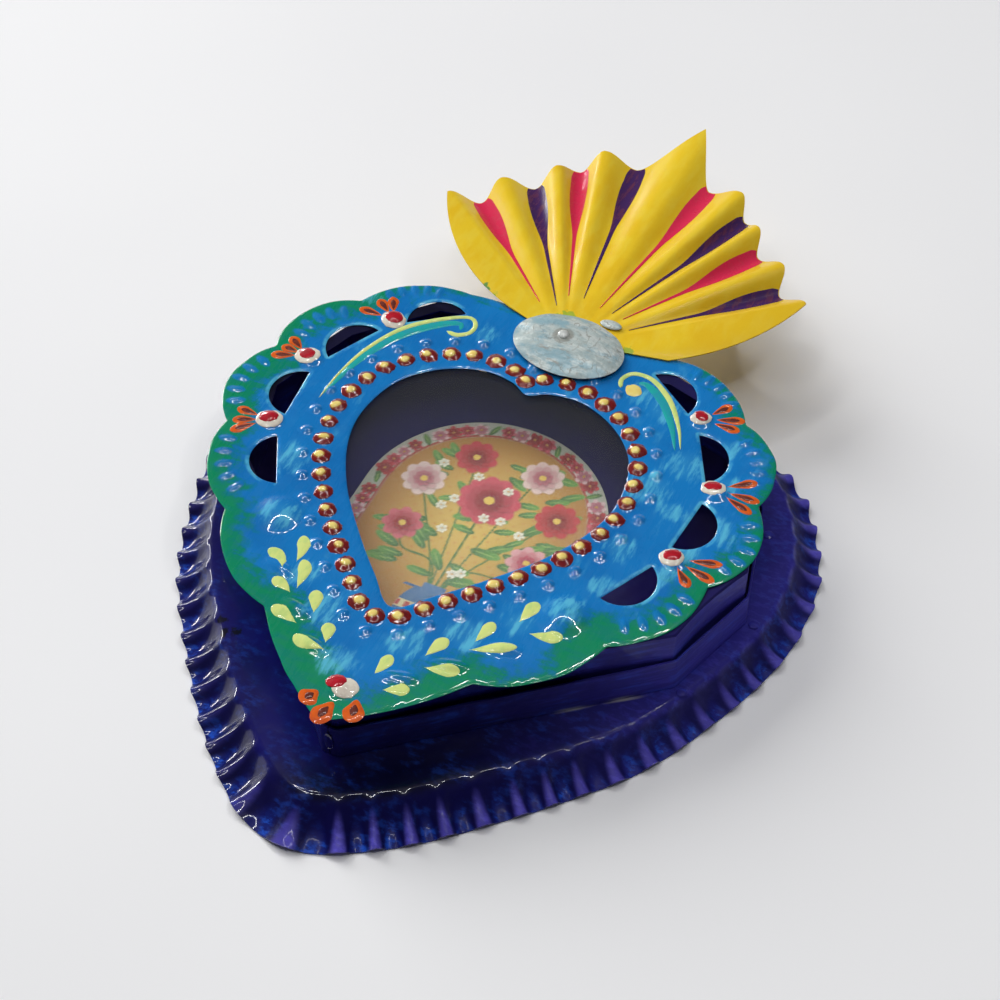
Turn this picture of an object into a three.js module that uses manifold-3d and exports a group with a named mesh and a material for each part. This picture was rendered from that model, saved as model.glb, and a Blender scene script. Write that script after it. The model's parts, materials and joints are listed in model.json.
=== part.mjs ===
// Heart-shaped tin shrine box, lying on its back: +Z out of the door, +Y towards the flame.
// A heart tray with a fluted skirt carries a low faceted wall. A lid with a scalloped, pierced and
// embossed plate, a glass heart window and a pleated flame is hinged to the wall's left facet and
// shows a picture card on the tray's floor. Sizes are in millimetres.
import * as THREE from 'three';
import { mergeVertices } from 'three/addons/utils/BufferGeometryUtils.js';
import Module from 'manifold-3d';

const wasm = await Module();
wasm.setup();

// Driving sizes.
const sheet = 0.5; // painted tinplate
const seat = 0.3; // gap left between pieces that touch
const skirtDrop = 9; // table to the tray's floor
const sideFlare = 8.3; // how far the skirt spreads outside the crease along the heart's sides
const tipFlare = 12.4; // the same at its tip
const lobeFlare = 7; // the same over its lobes
const fluteCount = 58;
const fluteLift = 2.2; // height of a flute's ridge over its valleys at the rim
const fluteReach = 0.8; // how much further out the ridge stands than the valleys
const boxDepth = 22; // tray floor to the top of the lid plate
const bandHeight = 11.5; // wall that is soldered to the tray
const lidFit = 0.75; // room between the wall and the lid rim, which swings out a little as it lifts
const panelBow = 1.1; // how far the lid rim's front panels spring inwards
const tipJoint = 0.15; // half the seam between the left and right strips
const flangeWidth = 4; // lid rim's inward flange, under the plate
const glassThickness = 2;
const cardThickness = 0.4;
const lumpSink = 0.2; // how far a pressed bump's foot reaches into the sheet that it belongs to
const bodyTurn = THREE.MathUtils.degToRad(-3.3); // tray and wall sit a little turned under the plate
const trayPivot = -10; // point on the tray's own middle line that it is turned about
const bodyPivot = [1.6, -10]; // where that point lies under the plate
const wallShift = 1.4; // wall off the tray's middle line, to the right

// Heights of the stack, from the table up.
const floorTop = skirtDrop;
const plateTop = floorTop + boxDepth;
const plateUnder = plateTop - sheet;
const bandFoot = floorTop + seat;
const bandTop = bandFoot + bandHeight;
const flangeTop = plateUnder - seat;

// Paints and materials.
const paint = (r, g, b, roughness = 0.3, metalness = 0.05) => new THREE.MeshStandardMaterial({
  color: new THREE.Color(r, g, b), roughness, metalness,
});
const ultramarine = () => paint(0.02, 0.012, 0.16);
const lidBlue = () => paint(0.02, 0.2, 0.5);
const flameYellow = () => paint(0.83, 0.56, 0.03);
const silverPaint = () => paint(0.55, 0.57, 0.58, 0.35, 0.7);
const bareTin = () => paint(0.5, 0.5, 0.52, 0.4, 0.9);
const solder = () => paint(0.42, 0.42, 0.43, 0.5, 0.8);
const cardPrint = () => paint(0.75, 0.5, 0.15, 0.5, 0);
const clearGlass = () => new THREE.MeshStandardMaterial({
  color: new THREE.Color(0.85, 0.9, 0.88), roughness: 0.05, metalness: 0, transparent: true, opacity: 0.25,
});

// Plane curves.
const v2 = (x, y) => new THREE.Vector2(x, y);

// Points from a towards b (b left out) on the arc that bulges by sagitta to the right of a-b.
function arcPoints(a, b, sagitta, steps) {
  const chord = b.clone().sub(a);
  const half = chord.length() / 2;
  const radius = (half * half + sagitta * sagitta) / (2 * sagitta);
  const right = v2(chord.y, -chord.x).normalize();
  const centre = a.clone().add(b).multiplyScalar(0.5).addScaledVector(right, sagitta - radius);
  const sweep = 2 * Math.asin(Math.min(1, half / Math.abs(radius))) * Math.sign(radius);
  const turn = Math.abs(sagitta) > half ? (2 * Math.PI - Math.abs(sweep)) * Math.sign(sweep) : sweep;
  const from = a.clone().sub(centre);
  return Array.from({ length: steps }, (_, i) => {
    const angle = turn * (i / steps);
    return v2(
      centre.x + from.x * Math.cos(angle) - from.y * Math.sin(angle),
      centre.y + from.x * Math.sin(angle) + from.y * Math.cos(angle),
    );
  });
}

// Half an outline, from the point on the axis at the bottom to the one at the top, mirrored whole.
function mirrored(half) {
  const left = half.slice(1, -1).reverse().map((p) => v2(-p.x, p.y));
  return [...half, ...left];
}

// A closed smooth curve through the points, cut into steps of equal length, anticlockwise.
function smoothLoop(points, steps) {
  const knots = points.map((p) => new THREE.Vector3(p.x, p.y, 0));
  const curve = new THREE.CatmullRomCurve3(knots, true, 'centripetal');
  curve.arcLengthDivisions = 2000;
  return Array.from({ length: steps }, (_, i) => {
    const p = curve.getPointAt(i / steps);
    return v2(p.x, p.y);
  });
}

// Outward normals of an anticlockwise loop.
function loopNormals(loop) {
  return loop.map((p, i) => {
    const next = loop[(i + 1) % loop.length];
    const last = loop[(i + loop.length - 1) % loop.length];
    return v2(next.y - last.y, last.x - next.x).normalize();
  });
}

const offsetLoop = (loop, distance) => {
  const normals = loopNormals(loop);
  return loop.map((p, i) => p.clone().addScaledVector(normals[i], distance));
};

// Solids.
function geometryOf(positions, indices) {
  const geometry = new THREE.BufferGeometry();
  const numbers = positions.flatMap((p) => p.toArray());
  geometry.setAttribute('position', new THREE.Float32BufferAttribute(numbers, 3));
  geometry.setIndex(indices);
  return geometry;
}

// Closed sheet between two grids of equal size: rows x columns, wrapped round in columns if asked.
function sheetSolid(top, bottom, wrap) {
  const rows = top.length;
  const columns = top[0].length;
  const positions = [...top.flat(), ...bottom.flat()];
  const under = rows * columns;
  const at = (r, c) => r * columns + (c % columns);
  const indices = [];
  const quad = (a, b, c, d) => indices.push(a, b, c, a, c, d);
  const lastColumn = wrap ? columns : columns - 1;
  for (let r = 0; r < rows - 1; r += 1) {
    for (let c = 0; c < lastColumn; c += 1) {
      quad(at(r, c), at(r + 1, c), at(r + 1, c + 1), at(r, c + 1));
      quad(under + at(r, c), under + at(r, c + 1), under + at(r + 1, c + 1), under + at(r + 1, c));
    }
  }
  for (let c = 0; c < lastColumn; c += 1) {
    quad(at(0, c), at(0, c + 1), under + at(0, c + 1), under + at(0, c));
    quad(at(rows - 1, c + 1), at(rows - 1, c), under + at(rows - 1, c), under + at(rows - 1, c + 1));
  }
  if (!wrap) {
    for (let r = 0; r < rows - 1; r += 1) {
      quad(at(r + 1, 0), at(r, 0), under + at(r, 0), under + at(r + 1, 0));
      const [here, beyond] = [at(r, columns - 1), at(r + 1, columns - 1)];
      quad(here, beyond, under + beyond, under + here);
    }
  }
  return geometryOf(positions, indices);
}

// Sweep a closed profile of [outward, height] points along an open plan path with mitred corners.
// The path runs anticlockwise round the box, so that its right-hand side is outside. An end that
// lies on the seam in the middle is cut along the seam, and any other end is cut square.
function sweepProfile(path, profile) {
  const last = path.length - 1;
  const beyond = (end, neighbour) => (
    Math.abs(end.x) <= tipJoint
      ? v2(2 * end.x - neighbour.x, neighbour.y)
      : end.clone().multiplyScalar(2).sub(neighbour)
  );
  const rows = path.map((p, i) => {
    const before = i > 0 ? path[i - 1] : beyond(p, path[1]);
    const after = i < last ? path[i + 1] : beyond(p, path[last - 1]);
    const inward = p.clone().sub(before).normalize();
    const onward = after.clone().sub(p).normalize();
    const normalIn = v2(inward.y, -inward.x);
    const normalOn = v2(onward.y, -onward.x);
    const mitre = normalIn.clone().add(normalOn).normalize();
    const scale = 1 / mitre.dot(normalIn);
    return profile.map(([out, z]) => new THREE.Vector3(
      p.x + mitre.x * out * scale,
      p.y + mitre.y * out * scale,
      z,
    ));
  });
  const n = profile.length;
  const indices = [];
  for (let r = 0; r < rows.length - 1; r += 1) {
    for (let c = 0; c < n; c += 1) {
      const [a, b] = [r * n + c, r * n + ((c + 1) % n)];
      indices.push(a, b, b + n, a, b + n, a + n);
    }
  }
  const caps = THREE.ShapeUtils.triangulateShape(profile.map(([out, z]) => v2(out, z)), []);
  for (const [a, b, c] of caps) {
    indices.push(a, c, b, last * n + a, last * n + b, last * n + c);
  }
  return outwards(geometryOf(rows.flat(), indices));
}

// Turn every face round if the solid came out inside out.
function outwards(geometry) {
  const position = geometry.getAttribute('position');
  const index = geometry.getIndex().array;
  const [a, b, c] = [0, 1, 2].map(() => new THREE.Vector3());
  let volume = 0;
  for (let i = 0; i < index.length; i += 3) {
    a.fromBufferAttribute(position, index[i]);
    b.fromBufferAttribute(position, index[i + 1]);
    c.fromBufferAttribute(position, index[i + 2]);
    volume += a.dot(b.cross(c));
  }
  if (volume < 0) {
    for (let i = 0; i < index.length; i += 3) {
      [index[i], index[i + 1]] = [index[i + 1], index[i]];
    }
  }
  return geometry;
}

function toManifold(geometry) {
  const bare = new THREE.BufferGeometry();
  bare.setAttribute('position', geometry.getAttribute('position').clone());
  if (geometry.getIndex()) {
    bare.setIndex(geometry.getIndex().clone());
  }
  const merged = outwards(mergeVertices(bare, 1e-4));
  return new wasm.Manifold(new wasm.Mesh({
    numProp: 3,
    vertProperties: new Float32Array(merged.getAttribute('position').array),
    triVerts: new Uint32Array(merged.getIndex().array),
  }));
}

function fromManifold(solid) {
  const mesh = solid.getMesh();
  const geometry = new THREE.BufferGeometry();
  geometry.setAttribute('position', new THREE.Float32BufferAttribute(mesh.vertProperties, 3));
  geometry.setIndex([...mesh.triVerts]);
  return geometry;
}

const join = (geometries) => fromManifold(
  geometries.map(toManifold).reduce((whole, piece) => whole.add(piece)),
);
const cutAway = (geometry, tools) => fromManifold(
  tools.map(toManifold).reduce((whole, tool) => whole.subtract(tool), toManifold(geometry)),
);

// Flat plate of an outline and its holes, from the height z up.
function flatPlate(outline, holes, z, thickness) {
  const shape = new THREE.Shape(outline);
  shape.holes = holes.map((hole) => new THREE.Path(hole));
  const geometry = new THREE.ExtrudeGeometry(shape, { depth: thickness, bevelEnabled: false });
  return geometry.translate(0, 0, z);
}

// Low dome with an oval foot, from a little below z up; closed, for joining to a plate.
function dome(centre, [halfLong, halfShort], height, z, { turn = 0, sides = 8, rings = 2 } = {}) {
  const profile = [v2(0, -lumpSink), v2(1, -lumpSink)];
  for (let i = 0; i <= rings; i += 1) {
    const angle = (Math.PI / 2) * (i / rings);
    profile.push(v2(i === rings ? 0 : Math.cos(angle), height * Math.sin(angle)));
  }
  const geometry = new THREE.LatheGeometry(profile, sides);
  geometry.rotateX(Math.PI / 2);
  geometry.scale(halfLong, halfShort, 1);
  geometry.rotateZ(turn);
  return geometry.translate(centre.x, centre.y, z);
}

// Low lump of solder on a surface whose normal is given, its foot just clear of that surface.
function solderLump(centre, normal, [halfLong, halfShort], height) {
  const geometry = dome(v2(0, 0), [halfLong, halfShort], height, 0, { sides: 10, rings: 3 });
  const flat = geometry.translate(0, 0, lumpSink);
  flat.applyQuaternion(new THREE.Quaternion().setFromUnitVectors(new THREE.Vector3(0, 0, 1), normal));
  return flat.translate(centre.x, centre.y, centre.z);
}

// Assembly tree.
const shrine = new THREE.Group();
const body = new THREE.Group(); // tray, wall and hinge, in the tray's own axes
body.rotation.z = bodyTurn;
body.position.set(
  bodyPivot[0] + trayPivot * Math.sin(bodyTurn),
  bodyPivot[1] - trayPivot * Math.cos(bodyTurn),
  0,
);
const wallFrame = new THREE.Group();
wallFrame.position.x = wallShift;
body.add(wallFrame);
shrine.add(body);

function addPiece(group, name, geometry, material) {
  const bare = new THREE.BufferGeometry();
  bare.setAttribute('position', geometry.getAttribute('position').clone());
  if (geometry.getIndex()) {
    bare.setIndex(geometry.getIndex().clone());
  }
  const merged = outwards(mergeVertices(bare, 1e-4));
  merged.computeVertexNormals();
  const mesh = new THREE.Mesh(merged, material);
  mesh.name = name;
  group.add(mesh);
  return mesh;
}

// Tray with its fluted skirt.
// Right half of the crease where the floor turns down, tip to cleft, in the tray's own axes.
const creaseHalf = [
  v2(0, -87.2), v2(18.3, -78.3), v2(44.3, -54.2), v2(66.6, -27.8), v2(80.2, 4), v2(84, 27),
  v2(80.4, 49), v2(66, 71), v2(44, 81), v2(22, 81.5), v2(0, 76),
];
const stepsPerFlute = 6;
const skirtKnee = { out: 0.42, down: 0.64, wave: 0.65 }; // shares reached where the skirt bends outwards
const flareFrom = -10; // the flare grows from here towards the tip
const flareTo = 40; // and shrinks from here towards the lobes' tops

function trayGeometry() {
  const crease = smoothLoop(mirrored(creaseHalf), fluteCount * stepsPerFlute);
  const normals = loopNormals(crease);
  const lowest = Math.min(...crease.map((p) => p.y));
  const highest = Math.max(...crease.map((p) => p.y));
  const skirtThickness = sheet * 1.5; // measured upright, on the slope
  const flareAt = (y) => {
    const tipShare = THREE.MathUtils.clamp((flareFrom - y) / (flareFrom - lowest), 0, 1);
    const lobeShare = THREE.MathUtils.clamp((y - flareTo) / (highest - flareTo), 0, 1);
    return sideFlare + tipShare * (tipFlare - sideFlare) + lobeShare * (lobeFlare - sideFlare);
  };
  // Rings of the skirt: shares of the flare, the drop and the flutes' wave, and the thickness there.
  const rings = [
    { out: 0, down: 0, wave: 0, thickness: sheet },
    { ...skirtKnee, thickness: skirtThickness },
    { out: 1, down: 1, wave: 1, thickness: skirtThickness },
  ];
  const ringPoints = ({ out, down, wave, thickness }, side) => crease.map((p, i) => {
    // 1 on a flute's ridge, 0 in the valleys beside it.
    const ridge = wave * (0.5 + 0.5 * Math.cos((2 * Math.PI * i) / stepsPerFlute));
    const valleyHeight = floorTop - down * (floorTop - skirtThickness);
    const topHeight = valleyHeight + ridge * fluteLift;
    const q = p.clone().addScaledVector(normals[i], out * flareAt(p.y) + ridge * fluteReach);
    return new THREE.Vector3(q.x, q.y, side ? topHeight : topHeight - thickness);
  });
  const top = rings.map((ring) => ringPoints(ring, true));
  const bottom = rings.map((ring) => ringPoints(ring, false));
  const skirt = sheetSolid(top, bottom, true);
  // Close the floor inside the crease: drop the skirt's inner edge and add the two heart faces.
  const columns = crease.length;
  const under = rings.length * columns;
  const index = [...skirt.getIndex().array];
  const kept = [];
  for (let i = 0; i < index.length; i += 3) {
    const tri = index.slice(i, i + 3);
    const onEdge = tri.every((k) => k < columns || (k >= under && k < under + columns));
    const spansBoth = tri.some((k) => k < columns) && tri.some((k) => k >= under);
    if (!(onEdge && spansBoth)) {
      kept.push(...tri);
    }
  }
  for (const [a, b, c] of THREE.ShapeUtils.triangulateShape(crease, [])) {
    kept.push(a, b, c, under + a, under + c, under + b);
  }
  skirt.setIndex(kept);
  return skirt;
}
addPiece(body, 'base_tray', trayGeometry(), ultramarine());

// Wall of the box.
// Outer face of the wall, right half, from the blunt tip to the cleft, in the wall's own axes.
const wallHalf = [
  v2(0, -73.5), v2(2.4, -73.5), v2(70.2, -11.6), v2(78, 17.8), v2(68.8, 49), v2(49, 72.8), v2(28, 78),
  v2(0, 70.5),
];
const seamed = (half) => half.map((p) => (p.x === 0 ? v2(tipJoint, p.y) : p));
// The left strip runs the other way, so that both go anticlockwise.
const leftOf = (half) => half.map((p) => v2(-p.x, p.y)).reverse();

const bandProfile = [[0, bandFoot], [0, bandTop], [-sheet, bandTop], [-sheet, bandFoot]];
for (const [side, path] of [['right', seamed(wallHalf)], ['left', leftOf(seamed(wallHalf))]]) {
  addPiece(wallFrame, `wall_band_${side}`, sweepProfile(path, bandProfile), ultramarine());
}

// Lid rim, inside the wall.
const rimInset = sheet + lidFit; // lid rim's outer face, inside the wall's
const bowSteps = [0.12, 0.3, 0.5, 0.7, 0.88];
// The wall's corners, with points between those of the two front panels that spring inwards.
function rimPath() {
  return seamed(wallHalf).flatMap((p, i, all) => {
    const bowed = i === 1 || i === 2;
    if (!bowed) {
      return [p];
    }
    const along = all[i + 1].clone().sub(p);
    const right = v2(along.y, -along.x).normalize();
    const bow = (t) => -panelBow * 4 * t * (1 - t);
    return [p, ...bowSteps.map((t) => (
      p.clone().addScaledVector(along, t).addScaledVector(right, bow(t))
    ))];
  });
}
const skirtProfile = [
  [-rimInset, bandFoot],
  [-rimInset, flangeTop],
  [-rimInset - sheet, flangeTop],
  [-rimInset - sheet, bandFoot],
];
const flangeProfile = [
  [-rimInset, flangeTop - sheet],
  [-rimInset, flangeTop],
  [-rimInset - flangeWidth, flangeTop],
  [-rimInset - flangeWidth, flangeTop - sheet],
];
// The flange starts at the first point along the front panel, clear of the one from the other side.
const rimRight = rimPath();
const flangeRight = rimRight.slice(2);
for (const [side, skirt, flange] of [
  ['right', rimRight, flangeRight],
  ['left', leftOf(rimRight), leftOf(flangeRight)],
]) {
  const rim = join([sweepProfile(skirt, skirtProfile), sweepProfile(flange, flangeProfile)]);
  addPiece(wallFrame, `lid_rim_${side}`, rim, ultramarine());
}

// Scalloped lid plate.
// Scallops of the right half: each starts at its notch and bulges by its sagitta.
const scallops = [
  { from: v2(0, -78.8), bulge: 2.2, steps: 5 },
  { from: v2(30.5, -51.9), bulge: 5.2, steps: 7 },
  { from: v2(57, -26.3), bulge: 5.4, steps: 7 },
  { from: v2(73.5, 3.3), bulge: 6.9, steps: 8 },
  { from: v2(75.6, 36), bulge: 6.6, steps: 8 },
  { from: v2(61.8, 64), bulge: 5.3, steps: 7 },
  { from: v2(33, 80.3), bulge: 1.4, steps: 4 },
];
const plateCleft = v2(0, 79);
const plateHalf = [
  ...scallops.flatMap(({ from, bulge, steps }, i) => (
    arcPoints(from, i + 1 < scallops.length ? scallops[i + 1].from : plateCleft, bulge, steps)
  )),
  plateCleft,
];

// Half-moons behind the scallops: the straight inner edge's two ends and the round side's bulge.
const halfMoons = [
  { low: v2(45, 61.2), high: v2(30.5, 71.8), bulge: 7.6 },
  { low: v2(59.3, 38.3), high: v2(51, 54.6), bulge: 8 },
  { low: v2(59.6, 12.5), high: v2(61.3, 30.5), bulge: 8.2 },
  { low: v2(49, -12), high: v2(57.3, 4), bulge: 7.8 },
];
const moonOutlines = halfMoons.flatMap(({ low, high, bulge }) => {
  const outline = [...arcPoints(low, high, bulge, 10), high];
  return [outline, outline.map((p) => v2(-p.x, p.y))];
});

// Window, right half, from its tip to its cleft.
const windowHalf = [
  v2(0, -38), v2(9, -29.8), v2(20, -18), v2(31, -4), v2(38.3, 11), v2(40, 23), v2(36.4, 37.5),
  v2(27.5, 47.2), v2(15.5, 52.3), v2(5.5, 51.3), v2(0, 48.4),
];
const windowLoop = smoothLoop(mirrored(windowHalf), 64);

// Pressed-out ornament: beads round the window, a finer row outside them, bosses and leaf beads.
const beadRing = { count: 44, offset: 4.8, radius: 1.9, height: 0.8 };
const fineRing = { count: 40, offset: 10.2, radius: 0.9, height: 0.45 };
const beadShift = v2(-2.4, 0); // the rows sit a little left of the window
const bosses = [v2(49.2, 60.5), v2(63.4, 36), v2(61.8, 8.6)];
const bossSize = { radius: 2.6, height: 1 };
const tipBoss = v2(0, -67.5);
const bigDome = { centre: v2(42.7, -21.8), radius: 6, height: 1.6 };
const leafBeads = [v2(33, -38.5), v2(22.5, -49), v2(12.5, -58)];
const leafBead = { halfLong: 4.4, halfShort: 1.7, height: 0.8, turn: 0.25 };

const ringOf = ({ count, offset }) => {
  const fine = smoothLoop(mirrored(windowHalf), 240);
  return smoothLoop(offsetLoop(fine, offset), count).map((p) => p.add(beadShift));
};

function plateGeometry() {
  const flat = flatPlate(mirrored(plateHalf), [windowLoop, ...moonOutlines], plateUnder, sheet);
  const pressed = [
    ...ringOf(beadRing).map((p) => dome(p, [beadRing.radius, beadRing.radius], beadRing.height, plateTop)),
    ...ringOf(fineRing).map((p) => dome(
      p,
      [fineRing.radius, fineRing.radius],
      fineRing.height,
      plateTop,
      { sides: 6, rings: 1 },
    )),
    dome(tipBoss, [bossSize.radius, bossSize.radius], bossSize.height, plateTop),
  ];
  for (const side of [1, -1]) {
    const across = (p) => v2(side * p.x, p.y);
    pressed.push(...bosses.map((p) => dome(
      across(p),
      [bossSize.radius, bossSize.radius],
      bossSize.height,
      plateTop,
    )));
    pressed.push(dome(
      across(bigDome.centre),
      [bigDome.radius, bigDome.radius],
      bigDome.height,
      plateTop,
      { sides: 16, rings: 3 },
    ));
    pressed.push(...leafBeads.map((p) => dome(
      across(p),
      [leafBead.halfLong, leafBead.halfShort],
      leafBead.height,
      plateTop,
      { turn: side * leafBead.turn, sides: 10 },
    )));
  }
  return join([flat, ...pressed]);
}
addPiece(shrine, 'lid_plate', plateGeometry(), lidBlue());

// Glass and its clips.
const paneOutline = [
  v2(-6, -47), v2(6, -47), v2(46, 6), v2(46, 44), v2(36, 57), v2(-36, 57), v2(-46, 44), v2(-46, 6),
];
const paneTop = plateUnder - seat;
const paneUnder = paneTop - glassThickness;
addPiece(shrine, 'glass_pane', flatPlate(paneOutline, [], paneUnder, glassThickness), clearGlass());

// Each clip is a tin tab soldered under the plate beside the pane and folded under its edge.
const clip = { width: 5, foot: 4, tongue: 3 };
// Pane corner that each clipped side starts from, and how far along the side the clip sits.
const clipPlaces = [
  { corner: 1, share: 0.5 },
  { corner: 2, share: 0.5 },
  { corner: 4, share: 0.25 },
  { corner: 4, share: 0.75 },
  { corner: 6, share: 0.5 },
  { corner: 7, share: 0.5 },
];
const tongueTop = paneUnder - seat;
const clipShape = new THREE.Shape([
  v2(seat, paneTop - sheet),
  v2(seat, tongueTop),
  v2(-clip.tongue, tongueTop),
  v2(-clip.tongue, tongueTop - sheet),
  v2(seat + sheet, tongueTop - sheet),
  v2(seat + sheet, paneTop - sheet),
  v2(seat + sheet + clip.foot, paneTop - sheet),
  v2(seat + sheet + clip.foot, paneTop),
  v2(seat, paneTop),
]);
clipPlaces.forEach(({ corner, share }, i) => {
  const a = paneOutline[corner];
  const b = paneOutline[(corner + 1) % paneOutline.length];
  const place = a.clone().lerp(b, share);
  const out = Math.atan2(a.x - b.x, b.y - a.y);
  const geometry = new THREE.ExtrudeGeometry(clipShape, { depth: clip.width, bevelEnabled: false });
  geometry.translate(0, 0, -clip.width / 2);
  geometry.rotateX(Math.PI / 2);
  geometry.rotateZ(out);
  geometry.translate(place.x, place.y, 0);
  addPiece(shrine, `glass_clip_${i + 1}`, geometry, bareTin());
});

// Pleated flame.
const flameShift = 2.2; // flame off the plate's middle line, to the right
const flameCentre = 76; // height on the plate where its pleats would meet
const pleatHeight = 2.2; // ridge above the middle of the sheet at the rim
const pleatStart = 0.08; // share of the way out where the pleats begin to rise
const stepsPerPleat = 4;
const flameRows = 8;
const flameMiddle = plateTop + seat + sheet / 2;
const tongueHalf = 5; // the flame's root, under the oval boss
const tongueFoot = 73.5;
// Ends of the ridges and valleys from the middle outwards: degrees from +Y, and reach.
const ridges = [[0, 104.5], [16.4, 83.4], [27, 75.2], [41.4, 71.8], [56, 72.2]];
const valleys = [[8.8, 81.5], [21.6, 77], [33.3, 69.2], [48.4, 67]];
const flameLean = 1.6; // the middle point leans to the right
// Each side's end on the lid plate, how hollow the side is between there and the last ridge, and
// how much longer the side's ridges are than those above, at the last one.
const flameSides = {
  left: { degrees: 82, reach: 22, hollow: 1, stretch: 0.017 },
  right: { degrees: 86, reach: 30, hollow: 1.1, stretch: -0.017 },
};

// Reach, pleat phase and lean of the rim at an angle from +Y, in degrees.
function flameRim(degrees) {
  const angle = Math.abs(degrees);
  const marks = ridges.flatMap((ridge, i) => (i < valleys.length ? [ridge, valleys[i]] : [ridge]));
  const lastRidge = marks[marks.length - 1];
  const side = degrees < 0 ? flameSides.left : flameSides.right;
  const stretched = 1 + side.stretch * Math.min(1, angle / lastRidge[0]);
  if (angle >= lastRidge[0]) {
    const t = (angle - lastRidge[0]) / (side.degrees - lastRidge[0]);
    const reach = side.reach + (lastRidge[1] * stretched - side.reach) * (1 - t) ** side.hollow;
    return { reach, pleat: Math.cos((Math.PI / 2) * t), lean: 0 };
  }
  const k = marks.findIndex((mark, i) => i < marks.length - 1 && angle <= marks[i + 1][0]);
  const t = (angle - marks[k][0]) / (marks[k + 1][0] - marks[k][0]);
  const sign = k % 2 === 0 ? 1 : -1;
  // The tall middle point is straight-sided; the others are rounded like a scallop.
  const ease = k === 0 ? 1 - (1 - t) ** 1.5 : (1 - Math.cos(Math.PI * t)) / 2;
  const reach = stretched * (marks[k][1] + (marks[k + 1][1] - marks[k][1]) * ease);
  return { reach, pleat: sign * Math.cos(Math.PI * t), lean: k === 0 ? flameLean * (1 - t) : 0 };
}

function flameGeometry() {
  const marks = [...ridges, ...valleys].map(([angle]) => angle).sort((a, b) => a - b);
  const half = marks.slice(0, -1).flatMap((angle, i) => (
    Array.from({ length: stepsPerPleat }, (_, j) => angle + (marks[i + 1] - angle) * (j / stepsPerPleat))
  ));
  const lastMark = marks[marks.length - 1];
  const sideSteps = 7;
  const anglesOf = ({ degrees }) => [...half, ...Array.from({ length: sideSteps + 1 }, (_, j) => (
    lastMark + (degrees - lastMark) * (j / sideSteps)
  ))];
  const left = anglesOf(flameSides.left).slice(1).map((a) => -a);
  const angles = [...anglesOf(flameSides.right).reverse(), ...left];
  const grid = (lift) => Array.from({ length: flameRows + 1 }, (_, r) => angles.map((degrees) => {
    const share = r / flameRows;
    const { reach, pleat, lean } = flameRim(degrees);
    const angle = THREE.MathUtils.degToRad(degrees);
    const foot = v2((tongueHalf * degrees) / flameSides.right.degrees, tongueFoot);
    const rim = v2(reach * Math.sin(angle), flameCentre + reach * Math.cos(angle));
    const p = foot.lerp(rim, share);
    const rise = pleatHeight * pleat * THREE.MathUtils.smoothstep(share, pleatStart, 1);
    return new THREE.Vector3(p.x + flameShift + lean * share, p.y, flameMiddle + rise + lift);
  }));
  return outwards(sheetSolid(grid(sheet / 2), grid(-sheet / 2), false));
}
addPiece(shrine, 'flame', flameGeometry(), flameYellow());

// Oval boss over the flame's root.
const ovalBoss = { centre: v2(3.4, 70.6), halfLong: 17.2, halfShort: 12.4, height: 2.6, turn: -0.06 };
const bossPearl = { radius: 2, height: 1.1, offset: v2(-1.6, 0.6), sides: 12, sink: 0.3 };
const bossCurve = 1.6; // how late the boss falls away from its crown

function bossGeometry() {
  const columns = 28;
  const rings = [1, 0.86, 0.62, 0.34, 0.06];
  const foot = flameMiddle + sheet / 2 + seat;
  const grid = (inset, lift) => rings.map((r) => Array.from({ length: columns }, (_, c) => {
    const angle = (2 * Math.PI * c) / columns;
    const x = (ovalBoss.halfLong - inset) * r * Math.cos(angle);
    const y = (ovalBoss.halfShort - inset) * r * Math.sin(angle);
    const z = foot + lift + ovalBoss.height * Math.cos((Math.PI / 2) * r ** bossCurve);
    const p = v2(x, y).rotateAround(v2(0, 0), ovalBoss.turn).add(ovalBoss.centre);
    return new THREE.Vector3(p.x, p.y, z);
  }));
  const shell = sheetSolid(grid(0, sheet), grid(0, 0), true);
  const pearlCentre = ovalBoss.centre.clone().add(bossPearl.offset);
  const crown = foot + sheet + ovalBoss.height - bossPearl.sink;
  const pearl = dome(pearlCentre, [bossPearl.radius, bossPearl.radius], bossPearl.height, crown, {
    sides: bossPearl.sides,
    rings: 3,
  });
  // The plug closes the shell's crown under the pearl.
  const plug = new THREE.CylinderGeometry(bossPearl.radius, bossPearl.radius, sheet, bossPearl.sides);
  plug.rotateX(Math.PI / 2);
  plug.translate(pearlCentre.x, pearlCentre.y, crown - sheet / 2 + lumpSink / 2);
  return join([shell, pearl, plug]);
}
addPiece(shrine, 'oval_boss', bossGeometry(), silverPaint());

// Picture card on the floor.
const card = { radius: 36.7, centre: v2(-0.2, 17.3), foot: -38, corner: 10 };

function cardGeometry() {
  const shape = new THREE.Shape();
  const { radius, centre, foot, corner } = card;
  shape.moveTo(-radius, 0);
  shape.lineTo(-radius, foot - centre.y + corner);
  shape.lineTo(-radius + corner, foot - centre.y);
  shape.lineTo(radius - corner, foot - centre.y);
  shape.lineTo(radius, foot - centre.y + corner);
  shape.lineTo(radius, 0);
  shape.absarc(0, 0, radius, 0, Math.PI, false);
  const geometry = new THREE.ExtrudeGeometry(shape, {
    depth: cardThickness,
    bevelEnabled: false,
    curveSegments: 24,
  });
  return geometry.translate(centre.x, centre.y, floorTop + seat);
}
addPiece(shrine, 'print_card', cardGeometry(), cardPrint());

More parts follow.
